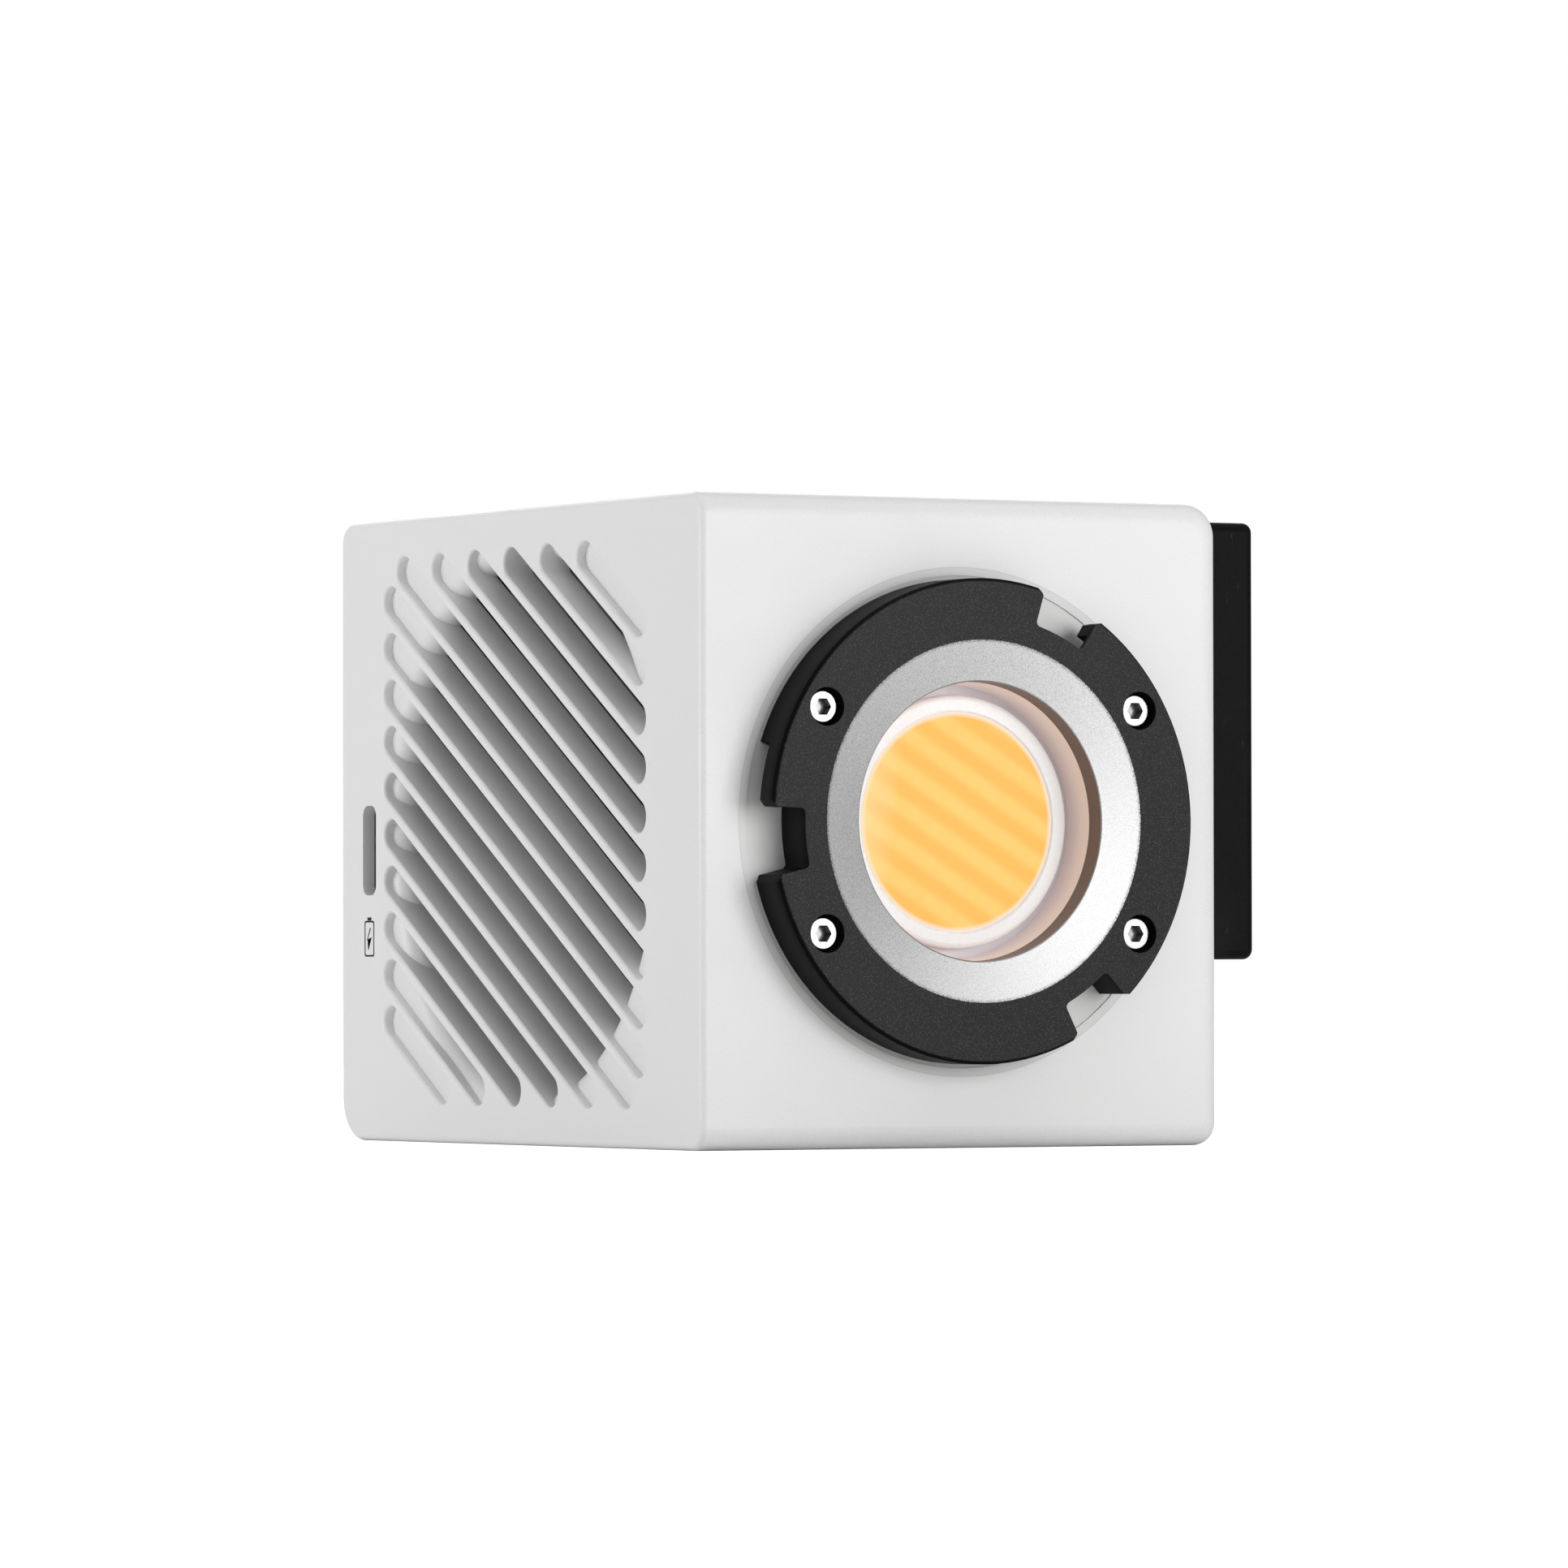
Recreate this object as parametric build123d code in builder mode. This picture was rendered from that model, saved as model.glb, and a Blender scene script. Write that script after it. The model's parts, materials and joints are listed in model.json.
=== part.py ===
from build123d import *

import os
from math import atan, cos, degrees, radians, sin

os.makedirs("parts", exist_ok=True)

# Compact LED light head. X runs to the viewer's right, Y from the front to the rear, Z up.
# The origin is the mouth of the tripod thread in the bottom face, below the optical axis. Sizes are in mm.

# ---------------------------------------------------------------- body
WIDTH = 81.4
LEFT = -40.0
DEPTH = 107.5
HEIGHT = 88.0
FRONT_EDGE_R = 3.0
TOP_RIGHT_R = 4.5
REAR_BOTTOM_R = 6.0
LEFT_EDGE_R = 0.9
WALL = 2.5
FRONT_WALL = 4.8
GRILLE_WALL = 4.5
CAVITY_CORNER_R = 3.5
SEAM_Y = 47.5
SEAM_X = -37.5
SEAM_GROOVE = 0.4

# ---------------------------------------------------------------- side grille, in the left side view
SLOT_W = 4.22
SLOT_PITCH = 6.6
SLOT_FALL = 0.607
SLOT_LEFT = -38.1
SLOT_RIGHT = 35.7
SLOT_TOP = 80.5
SLOT_BOTTOM = 7.5
SLOT_START_Z = 76.38
SLOT_FIRST = -9
SLOT_LAST = 6
SLOT_LIP_R = 0.5
GROOVE_DEPTH = 1.4
VENT_R = 37.45
VENT_FLARE_R = 3.0
VENT_CENTRE = (-0.8, 44.05)

# ---------------------------------------------------------------- bayonet ring, heights above the front face
RING_Z = 44.1
RING_H = 6.4
BEZEL_R = 24.45
HUB_R = 27.7
POCKET_R = 30.2
LIP_R = 32.75
LIP_T = 3.6
LIP_CHAMFER = 0.5
SEAT_R = 33.3
SEAT_DEPTH = 0.25
FOOT_R = 32.2
NOTCH_ANGLES = (65.0, 185.0, 305.0)
NOTCH_SPAN = 16.4
POCKET_SPAN = 15.5
POCKET_ROOF = 0.8
NOTCH_ROOT_R = 0.7
NOTCH_TIP = 0.8
SCREW_X = 24.35
SCREW_Z = 15.15
SCREW_SINK = 1.2

# ---------------------------------------------------------------- light engine
APERTURE_R = 18.83
BEZEL_DISH = 1.12
MOUTH_R = 0.25
HOLDER_TOP = 2.2
BOARD_TOP = -3.0
BOARD_T = 1.5
BOARD_SIDE = 38.0
PAD_T = 0.3
DAM_R = 17.15
DISC_R = 14.88
DAM_H = 2.05
DAM_EDGE_R = 0.7
DISC_H = 1.8
DISC_EDGE_R = 0.3
WELL_FOOT_R = 18.5
HOLDER_NECK_R = 22.9
CLEAR = 0.1
TOUCH = 0.01

# ---------------------------------------------------------------- cooling
SINK_X = (-18.0, 36.5)
SINK_Z = (14.0, 76.0)
SINK_BASE = 6.0
SINK_REACH = 50.0
FIN_T = 1.0
FIN_PITCH = 4.0
FIN_COUNT = 13
POST_INSET = 3.2
FAN_SIDE = 80.0
FAN_T = 15.0
FAN_BORE_R = 38.5
FAN_FLANGE = 3.5
FAN_HOLE_SPACING = 71.5
FAN_HUB_R = 14.0
FAN_BLADES = 9
FAN_BLADE_R = 37.4

# ---------------------------------------------------------------- controls, in the rear view
DIAL_X = 17.0
DIAL_Z = 36.0
DIAL_R = 10.0
DIAL_H = 10.5
DIAL_GAP = 0.9
SHAFT_R = 3.0
SHAFT_CLEAR = 0.05
DISPLAY_Z = 66.0
DISPLAY_SIZE = (50.0, 25.0)
POWER_AT = (-17.0, 14.0)
USB_AT = (15.0, 14.0)
PCB_T = 1.6
CONTROL_PCB = -8.2
CONTROL_SIZE = (54.0, 72.0)

# ---------------------------------------------------------------- side dock, heights above the right face
DOCK_L = 87.5
DOCK_Z = (25.5, 86.1)
DOCK_T = 11.65
DOCK_CORNER_R = 1.4
CHANNEL_MOUTH = 58.0
CHANNEL_WIDE = 64.0
CHANNEL_DEPTH = 5.5
CHANNEL_LIP = 2.5
CHANNEL_FLOOR_Z = 38.0
LATCH_Z = 76.0
LATCH_SIZE = (12.0, 9.0)
LATCH_TRAVEL = 2.4
LATCH_FLANGE = (1.2, 1.0)
LATCH_GAP = 0.3
LATCH_SLOPE = 5.4
DOCK_SCREW_Y = 24.0
DOCK_SCREW_Z = (47.0, 79.0)
DOCK_SCREW_SINK = 2.2
DOCK_HEAD_R = 2.75
DOCK_HEAD_H = 1.8
DOCK_HEX = 2.0

# ---------------------------------------------------------------- fasteners
M25_R = 1.25
M25_HEAD_R = 2.25
M25_HEAD_H = 2.5
M25_HEX = 2.2
M3_R = 1.5
M4_R = 2.0
TRIPOD_R = 2.6
TRIPOD_DEPTH = 8.5
INSERT_R = 6.0
INSERT_L = 10.0

# ---------------------------------------------------------------- smaller sizes
INDICATOR_AT = (-44.7, 41.2)
INDICATOR_SIZE = (4.1, 12.75)
INDICATOR_R = 1.5
INDICATOR_SINK = 1.8
BOSS_R = 3.2
BOSS_L = 6.5
COVER_SCREW_SINK = 2.9
EXHAUST_Z = 13.5
EXHAUST_LENGTH = 15.0
EXHAUST_W = 2.4
EXHAUST_PITCH = 5.5
EXHAUST_COUNT = 14
INSERT_BOSS_R = 8.0
WINDOW_T = 1.0
DIAL_DISH = 0.4
DIAL_FLUTES = 36
BUSHING_R = 3.5
BUSHING_PROUD = 0.2
ENCODER_TOP = -2.6
ENCODER_SIDE = 12.0
ENCODER_FLOOR = 0.4
DIAL_TRAVEL = 0.5
PRESS_CLEAR = 0.3
PUSHER_R = 2.5
PUSHER_START = 1.4
PUSHER_T = 1.0
DIAL_CAP = 2.5
DIAL_WALL = 1.8
DIAL_HOLLOW = 5.5
POWER_R = 5.0
POWER_RIM = 0.9
PLUNGER_R = 1.5
SWITCH_TOP = -4.9
SWITCH_SIDE = 7.0
PLUNGER_SINK = 1.8
BUTTON_BACK = -3.7
BUTTON_PROUD = 0.8
USB_SIZE = (8.94, 3.26)
POST_AF = 5.0
POST_L = 64.0
POST_TIP = 2.2
CAPACITOR_R = 5.0
CAPACITOR_L = 13.0
CAPACITORS = [(-8, 18), (4, 18), (-8, 6)]
INDUCTOR_SIDE = 17.0
INDUCTOR_H = 9.0
INDUCTOR_AT = (22, 12)
FAN_SCREW_BITE = 2.4
FAN_SCREW_R = 3.6
FAN_SCREW_H = 2.2
FAN_BASE = 2.0
FAN_STRUT = 3.0
FAN_STRUT_ANGLES = (25, 115, 205, 295)
FAN_SHAFT_R = 1.5
BEARING_R = 3.2
BEARING_L = 8.5
STATOR_R = 10.5
STATOR_L = 6.0
ROTOR_START = 1.2
ROTOR_L = 10.5
HUB_T = 1.2
BLADE_T = 1.1
BLADE_ROOT = (11.0, 48.0)
BLADE_TIP = (17.0, 30.0)
TOOTH_H = 2.3
CONTACT_AT = (0.0, 45.0)
CONTACT_SIZE = (26.0, 7.0)
CONTACT_DEPTH = 3.0
CONTACT_PROUD = 0.8
CONTACT_R = 1.2
CONTACT_SINK = 1.2
SPRING_R = 2.8
SPRING_WIRE_R = 0.25
SPRING_TURNS = 3
LEAD_R = 0.6
LEAD_X = (12.0, 14.6)
LEAD_RUN_Z = 9.0
FAN_LEAD_Y = 34.0
FAN_LEAD_Z = (22.0, 24.6)
LINK_W = 14.0
LINK_Z = (44.0, 45.2)
LEAD_GROOVE = 1.7
LEAD_BEND_R = 2.5
LEAD_BORE_R = LEAD_R + 0.2

RIGHT = LEFT + WIDTH
FRONT = -DEPTH / 2
REAR = DEPTH / 2
CAVITY_X = (LEFT + GRILLE_WALL, RIGHT - WALL)
CAVITY_Y = (FRONT + FRONT_WALL, REAR - WALL)
CAVITY_Z = (WALL, HEIGHT - WALL)

FRONT_VIEW = Plane(origin=(0, FRONT, RING_Z), x_dir=(1, 0, 0), z_dir=(0, -1, 0))
RING_SEAT = FRONT_VIEW.offset(-SEAT_DEPTH)
OPTICAL_AXIS = Axis((0, 0, RING_Z), (0, 1, 0))
REAR_VIEW = Plane(origin=(0, REAR, 0), x_dir=(-1, 0, 0), z_dir=(0, 1, 0))
LEFT_VIEW = Plane(origin=(LEFT, 0, 0), x_dir=(0, -1, 0), z_dir=(-1, 0, 0))
RIGHT_VIEW = Plane(origin=(RIGHT, 0, 0), x_dir=(0, 1, 0), z_dir=(1, 0, 0))
FAN_VIEW = Plane(origin=(CAVITY_X[0], -VENT_CENTRE[0], VENT_CENTRE[1]), x_dir=(0, 1, 0), z_dir=(1, 0, 0))

RING_SCREWS = [(x, z) for x in (-SCREW_X, SCREW_X) for z in (-SCREW_Z, SCREW_Z)]
POSTS = [(x, z) for x in (SINK_X[0] + POST_INSET, SINK_X[1] - POST_INSET)
         for z in (SINK_Z[0] + POST_INSET - RING_Z, SINK_Z[1] - POST_INSET - RING_Z)]
COVER_SCREWS = [(x, z) for x in (LEFT + 7, RIGHT - 9) for z in (8.5, HEIGHT - 8.5)]
COVER_HOLES = [(-x, z) for x, z in COVER_SCREWS]
DOCK_SCREWS = [(y, z) for y in (-DOCK_SCREW_Y, DOCK_SCREW_Y) for z in DOCK_SCREW_Z]
FAN_HOLES = [(y, z) for y in (-FAN_HOLE_SPACING / 2, FAN_HOLE_SPACING / 2)
             for z in (-FAN_HOLE_SPACING / 2, FAN_HOLE_SPACING / 2)]
DIALS = [(-DIAL_X, DIAL_Z), (DIAL_X, DIAL_Z)]
DOCK_LEADS = [(4.0, CONTACT_AT[1] + offset) for offset in (-1.8, 1.8)]
CONTACTS = [(CONTACT_AT[0] + offset, CONTACT_AT[1]) for offset in (-8.0, 0.0, 8.0)]


def block(x_span, y_span, z_span, mode=Mode.ADD):
    """A box between two corners, given as its spans along X, Y and Z."""
    spans = (x_span, y_span, z_span)
    with Locations(tuple((low + high) / 2 for low, high in spans)):
        Box(*(high - low for low, high in spans), mode=mode)


def round_bars(level, radius, length, centres=((0, 0),), mode=Mode.ADD):
    """Round bars or holes that start on the plane `level` and grow along its normal."""
    with BuildSketch(level) as profile:
        with Locations(*centres):
            Circle(radius)
    extrude(profile.sketch, amount=length, mode=mode)


def tube(level, outer_r, inner_r, length, centres=((0, 0),), mode=Mode.ADD):
    """Tubes that start on the plane `level` and grow along its normal."""
    with BuildSketch(level) as profile:
        with Locations(*centres):
            Circle(outer_r)
            Circle(inner_r, mode=Mode.SUBTRACT)
    extrude(profile.sketch, amount=length, mode=mode)


def slab(level, size, length, centre=(0, 0), corner_r=0.0, mode=Mode.ADD):
    """A flat block on the plane `level`, with round corners if asked."""
    with BuildSketch(level) as profile:
        with Locations(centre):
            if corner_r:
                RectangleRounded(*size, corner_r)
            else:
                Rectangle(*size)
    extrude(profile.sketch, amount=length, mode=mode)


def sector(reach, start, span):
    """A pie slice from angle `start` through `span` degrees."""
    angles = [radians(start + share * span) for share in (0, 0.5, 1)]
    with BuildLine() as outline:
        Polyline((0, 0), *((reach * cos(angle), reach * sin(angle)) for angle in angles), close=True)
    make_face(outline.edges())


def slot_pattern():
    """The slanted slots of the side grille, in the left side view."""
    for row in range(SLOT_FIRST, SLOT_LAST + 1):
        start_z = SLOT_START_Z + row * SLOT_PITCH
        left = max(SLOT_LEFT, SLOT_LEFT + (start_z - SLOT_TOP) / SLOT_FALL)
        right = min(SLOT_RIGHT, SLOT_LEFT + (start_z - SLOT_BOTTOM) / SLOT_FALL)
        high, low = (Vector(u, start_z - SLOT_FALL * (u - SLOT_LEFT)) for u in (left, right))
        middle = (low + high) * 0.5
        with Locations(Location((middle.X, middle.Y, 0), (0, 0, -degrees(atan(SLOT_FALL))))):
            SlotCenterToCenter((high - low).length, SLOT_W)


def socket_screws(level, centres, head_r, head_h, shank_r, shank_l, hex_af):
    """Hex socket cap screws whose heads sit on the plane `level`."""
    round_bars(level, head_r, head_h, centres)
    fillet(new_edges_at(level, head_h, head_r), head_r * 0.12)
    round_bars(level, shank_r, -shank_l, centres)
    with BuildSketch(level.offset(head_h)) as sockets:
        with Locations(*centres):
            RegularPolygon(hex_af / 2, 6, major_radius=False)
    extrude(sockets.sketch, amount=-head_h * 0.55, mode=Mode.SUBTRACT)


def new_edges_at(level, height, radius):
    """The round edges of a given radius at a height above a plane, in the part being built."""
    rings = BuildPart._get_context().part.edges().filter_by(GeomType.CIRCLE)
    rings = rings.filter_by(lambda e: abs(e.radius - radius) < TOUCH)
    return rings.filter_by(lambda e: abs(level.to_local_coords(e.center()).Z - height) < TOUCH)


def axis_distance(edge):
    """How far the middle of an edge is from the optical axis."""
    middle = edge.center()
    return (middle - Vector(0, middle.Y, RING_Z)).length


# ================================================================ casing
with BuildPart() as body_block:
    block((LEFT, RIGHT), (FRONT, REAR), (0, HEIGHT))
    fillet(body_block.edges().filter_by(Axis.X).sort_by(Axis.Z)[:2].sort_by(Axis.Y)[-1], REAR_BOTTOM_R)
    fillet(body_block.edges().filter_by(Axis.Y).sort_by(Axis.Z)[-2:].sort_by(Axis.X)[-1], TOP_RIGHT_R)
    off_left = body_block.edges().filter_by(lambda e: e.center().X > LEFT + 1)
    off_top_bend = off_left.filter_by(
        lambda e: abs(e.center().Y) > 1 or e.center().Z < HEIGHT - TOP_RIGHT_R - 1)
    rim = off_top_bend.filter_by(
        lambda e: abs(e.center().X - (LEFT + RIGHT) / 2) > 1 or e.center().Z > REAR_BOTTOM_R + 1
        or e.center().Y < REAR - REAR_BOTTOM_R - 1)
    fillet(rim, FRONT_EDGE_R)
    fillet(body_block.faces().sort_by(Axis.X)[0].edges(), LEFT_EDGE_R)

with BuildPart() as cavity:
    block(CAVITY_X, CAVITY_Y, CAVITY_Z)
    fillet(cavity.edges().filter_by(Axis.X).sort_by(Axis.Z)[:2].sort_by(Axis.Y)[-1], CAVITY_CORNER_R)

with BuildPart() as rear_zone:
    block((SEAM_X, WIDTH), (SEAM_Y, DEPTH), (-WALL, HEIGHT + WALL))

with BuildPart() as seam_groove:
    block((SEAM_X - SEAM_GROOVE / 2, WIDTH), (SEAM_Y - SEAM_GROOVE / 2, SEAM_Y + SEAM_GROOVE / 2),
          (-WALL, HEIGHT + WALL))
    block((SEAM_X - WALL, RIGHT - SEAM_GROOVE), (FRONT, REAR),
          (SEAM_GROOVE, HEIGHT - SEAM_GROOVE), mode=Mode.SUBTRACT)

# the fan's inlet: a round throat whose mouth flares out to the floor of the grooves
THROAT_MOUTH = LEFT + GROOVE_DEPTH
with BuildPart() as vent_slots:
    with BuildSketch(Plane.XZ.offset(VENT_CENTRE[0])) as throat_section:
        with BuildLine():
            flare_end = (THROAT_MOUTH + VENT_FLARE_R, VENT_CENTRE[1] + VENT_R)
            line = Polyline(flare_end, (LEFT + 2 * GRILLE_WALL, flare_end[1]),
                            (LEFT + 2 * GRILLE_WALL, VENT_CENTRE[1]), (THROAT_MOUTH, VENT_CENTRE[1]),
                            (THROAT_MOUTH, flare_end[1] + VENT_FLARE_R))
            RadiusArc(line @ 1, line @ 0, -VENT_FLARE_R)
        make_face()
    revolve(axis=Axis((0, -VENT_CENTRE[0], VENT_CENTRE[1]), (1, 0, 0)))
    with BuildSketch(LEFT_VIEW.offset(-GROOVE_DEPTH)) as through_slots:
        slot_pattern()
    extrude(through_slots.sketch, amount=-2 * GRILLE_WALL, mode=Mode.INTERSECT)

with BuildPart() as housing:
    add(body_block.part)
    add(cavity.part, mode=Mode.SUBTRACT)
    add(rear_zone.part, mode=Mode.SUBTRACT)
    # grille: blind grooves all over, through slots inside the fan's inlet circle
    with BuildSketch(LEFT_VIEW):
        slot_pattern()
    extrude(amount=-GROOVE_DEPTH, mode=Mode.SUBTRACT)
    slot_rims = housing.faces().sort_by(Axis.X)[0].inner_wires().edges()
    fillet(slot_rims, SLOT_LIP_R)
    add(vent_slots.part, mode=Mode.SUBTRACT)
    # light pipe opening
    slab(LEFT_VIEW, INDICATOR_SIZE, -GRILLE_WALL - WALL, INDICATOR_AT, INDICATOR_R, Mode.SUBTRACT)
    # seat of the bayonet ring, bore of the light engine and pocket of its board
    round_bars(FRONT_VIEW, SEAT_R, -SEAT_DEPTH, mode=Mode.SUBTRACT)
    round_bars(FRONT_VIEW, HOLDER_NECK_R + CLEAR, -FRONT_WALL, mode=Mode.SUBTRACT)
    slab(FRONT_VIEW.offset(BOARD_TOP), (BOARD_SIDE + 0.6, BOARD_SIDE + 0.6), -FRONT_WALL,
         mode=Mode.SUBTRACT)
    round_bars(FRONT_VIEW, M25_R, -FRONT_WALL, RING_SCREWS, Mode.SUBTRACT)
    round_bars(FRONT_VIEW.offset(-FRONT_WALL), M3_R, POST_TIP, POSTS, Mode.SUBTRACT)
    # fan screws
    round_bars(FAN_VIEW, M4_R, -FAN_SCREW_BITE, FAN_HOLES, Mode.SUBTRACT)
    # corner bosses for the rear cover's screws
    for x, z in COVER_SCREWS:
        wall_z = CAVITY_Z[0] if z < HEIGHT / 2 else CAVITY_Z[1]
        low, high = sorted((wall_z, z + BOSS_R if z < HEIGHT / 2 else z - BOSS_R))
        block((x - BOSS_R, x + BOSS_R), (SEAM_Y - BOSS_L, SEAM_Y), (low, high))
    round_bars(REAR_VIEW.offset(SEAM_Y - REAR), M25_R, -BOSS_L + 1, COVER_HOLES, Mode.SUBTRACT)
    # exhaust slots under the dock
    with BuildSketch(RIGHT_VIEW):
        with Locations((0, EXHAUST_Z)):
            with GridLocations(EXHAUST_PITCH, 1, EXHAUST_COUNT, 1):
                SlotOverall(EXHAUST_LENGTH, EXHAUST_W, rotation=90)
    extrude(amount=-WALL, mode=Mode.SUBTRACT)
    # groove for the leads of the light engine, and holes for those of the dock
    block((LEAD_X[0] - 1.5, LEAD_X[-1] + 1.5), (CAVITY_Y[0] - LEAD_GROOVE, CAVITY_Y[0]),
          (LEAD_RUN_Z - 2, RING_Z - BOARD_SIDE / 2), mode=Mode.SUBTRACT)
    round_bars(RIGHT_VIEW, LEAD_BORE_R, -WALL, DOCK_LEADS, Mode.SUBTRACT)
    # dock screws and the boss of the tripod insert
    round_bars(RIGHT_VIEW, M3_R, -WALL, DOCK_SCREWS, Mode.SUBTRACT)
    round_bars(Plane.XY, INSERT_BOSS_R, INSERT_L + 2)
    round_bars(Plane.XY, INSERT_R, INSERT_L, mode=Mode.SUBTRACT)
    round_bars(Plane.XY, INSERT_R + 1, 1, mode=Mode.SUBTRACT)
    add(seam_groove.part, mode=Mode.SUBTRACT)
housing.part.label = "housing"
export_step(housing.part, "parts/housing.step")

with BuildPart() as rear_cover:
    add(body_block.part)
    add(rear_zone.part, mode=Mode.INTERSECT)
    add(cavity.part, mode=Mode.SUBTRACT)
    add(seam_groove.part, mode=Mode.SUBTRACT)
    # posts that meet the housing's bosses
    round_bars(REAR_VIEW.offset(-WALL), BOSS_R, -(REAR - WALL - SEAM_Y), COVER_HOLES)
    round_bars(REAR_VIEW, M25_R + CLEAR, -(REAR - SEAM_Y), COVER_HOLES, Mode.SUBTRACT)
    round_bars(REAR_VIEW, M25_HEAD_R + 0.25, -COVER_SCREW_SINK, COVER_HOLES, Mode.SUBTRACT)
    # display window, dials, power button and charging port
    slab(REAR_VIEW, (DISPLAY_SIZE[0] + 4, DISPLAY_SIZE[1] + 4), -WINDOW_T, (0, DISPLAY_Z), 2.0,
         Mode.SUBTRACT)
    slab(REAR_VIEW, DISPLAY_SIZE, -WALL, (0, DISPLAY_Z), 1.0, Mode.SUBTRACT)
    round_bars(REAR_VIEW, BUSHING_R + CLEAR, -WALL, DIALS, Mode.SUBTRACT)
    round_bars(REAR_VIEW, DIAL_R + 1, -DIAL_DISH, DIALS, Mode.SUBTRACT)
    round_bars(REAR_VIEW, POWER_R + 0.3, -WALL, [POWER_AT], Mode.SUBTRACT)
    slab(REAR_VIEW, (USB_SIZE[0] + 0.4, USB_SIZE[1] + 0.4), -WALL, USB_AT, USB_SIZE[1] / 2, Mode.SUBTRACT)
rear_cover.part.label = "rear_cover"
export_step(rear_cover.part, "parts/rear_cover.step")

with BuildPart() as cover_screws:
    socket_screws(REAR_VIEW.offset(-COVER_SCREW_SINK), COVER_HOLES, M25_HEAD_R, M25_HEAD_H, M25_R,
                  REAR - SEAM_Y - COVER_SCREW_SINK + BOSS_L - 2, M25_HEX)
cover_screws.part.label = "cover_screws"
export_step(cover_screws.part, "parts/cover_screws.step")

with BuildPart() as charge_indicator:
    slab(LEFT_VIEW.offset(-INDICATOR_SINK), (INDICATOR_SIZE[0] - CLEAR, INDICATOR_SIZE[1] - CLEAR),
         -(GRILLE_WALL - INDICATOR_SINK), INDICATOR_AT, INDICATOR_R - CLEAR / 2)
charge_indicator.part.label = "charge_indicator"
export_step(charge_indicator.part, "parts/charge_indicator.step")

# ================================================================ bayonet and light engine
with BuildPart() as bayonet_ring:
    tube(RING_SEAT, FOOT_R, BEZEL_R, SEAT_DEPTH)
    tube(FRONT_VIEW, LIP_R, BEZEL_R, RING_H)
    for middle in NOTCH_ANGLES:
        with BuildSketch(RING_SEAT):
            sector(2 * LIP_R, middle - NOTCH_SPAN / 2, NOTCH_SPAN)
            Circle(HUB_R, mode=Mode.SUBTRACT)
        extrude(amount=RING_H + SEAT_DEPTH, mode=Mode.SUBTRACT)
        # pocket behind the lip, clockwise of the notch
        for pocket_r, roof in ((POCKET_R, POCKET_ROOF), (2 * LIP_R, LIP_T)):
            with BuildSketch(RING_SEAT):
                sector(2 * LIP_R, middle - NOTCH_SPAN / 2 - POCKET_SPAN, POCKET_SPAN + 1)
                Circle(pocket_r, mode=Mode.INTERSECT)
                Circle(HUB_R, mode=Mode.SUBTRACT)
            extrude(amount=RING_H + SEAT_DEPTH - roof, mode=Mode.SUBTRACT)
    upright = bayonet_ring.edges().filter_by(Axis.Y)
    fillet(upright.filter_by(lambda e: abs(axis_distance(e) - HUB_R) < TOUCH), NOTCH_ROOT_R)
    tips = bayonet_ring.edges().filter_by(Axis.Y).filter_by(
        lambda e: abs(axis_distance(e) - LIP_R) < TOUCH and e.bounding_box().min.Y < FRONT - RING_H + TOUCH)
    chamfer(tips, NOTCH_TIP)
    lip_edges = bayonet_ring.edges().filter_by(GeomType.CIRCLE).filter_by(
        lambda e: abs(e.radius - LIP_R) < TOUCH and e.center().Y < FRONT - RING_H + TOUCH)
    chamfer(lip_edges, LIP_CHAMFER)
    round_bars(FRONT_VIEW.offset(RING_H), M25_HEAD_R + 0.35, -(SCREW_SINK + M25_HEAD_H), RING_SCREWS,
               Mode.SUBTRACT)
    round_bars(RING_SEAT, M25_R + CLEAR, RING_H, RING_SCREWS, Mode.SUBTRACT)
bayonet_ring.part.label = "bayonet_ring"
export_step(bayonet_ring.part, "parts/bayonet_ring.step")

with BuildPart() as ring_screws:
    socket_screws(FRONT_VIEW.offset(RING_H - SCREW_SINK - M25_HEAD_H), RING_SCREWS, M25_HEAD_R,
                  M25_HEAD_H, M25_R, 6.0, M25_HEX)
ring_screws.part.label = "ring_screws"
export_step(ring_screws.part, "parts/ring_screws.step")

with BuildPart() as bezel_ring:
    with BuildSketch(Plane.YZ) as bezel_section:
        with BuildLine():
            Polyline((FRONT - RING_H, RING_Z + BEZEL_R),
                     (FRONT - RING_H + BEZEL_DISH, RING_Z + APERTURE_R),
                     (FRONT - HOLDER_TOP, RING_Z + APERTURE_R),
                     (FRONT - HOLDER_TOP, RING_Z + BEZEL_R), close=True)
        make_face()
    revolve(axis=OPTICAL_AXIS)
    fillet(new_edges_at(FRONT_VIEW, RING_H - BEZEL_DISH, APERTURE_R), MOUTH_R)
bezel_ring.part.label = "bezel_ring"
export_step(bezel_ring.part, "parts/bezel_ring.step")

with BuildPart() as led_holder:
    with BuildSketch(Plane.YZ) as holder_section:
        with BuildLine():
            Polyline((FRONT - HOLDER_TOP, RING_Z + APERTURE_R),
                     (FRONT - HOLDER_TOP, RING_Z + BEZEL_R - CLEAR),
                     (FRONT + SEAT_DEPTH, RING_Z + BEZEL_R - CLEAR),
                     (FRONT + SEAT_DEPTH, RING_Z + HOLDER_NECK_R),
                     (FRONT - BOARD_TOP, RING_Z + HOLDER_NECK_R),
                     (FRONT - BOARD_TOP, RING_Z + WELL_FOOT_R), close=True)
        make_face()
    revolve(axis=OPTICAL_AXIS)
led_holder.part.label = "led_holder"
export_step(led_holder.part, "parts/led_holder.step")

with BuildPart() as cob_board:
    slab(FRONT_VIEW.offset(BOARD_TOP), (BOARD_SIDE, BOARD_SIDE), -BOARD_T, corner_r=0.8)
cob_board.part.label = "cob_board"
export_step(cob_board.part, "parts/cob_board.step")

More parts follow.
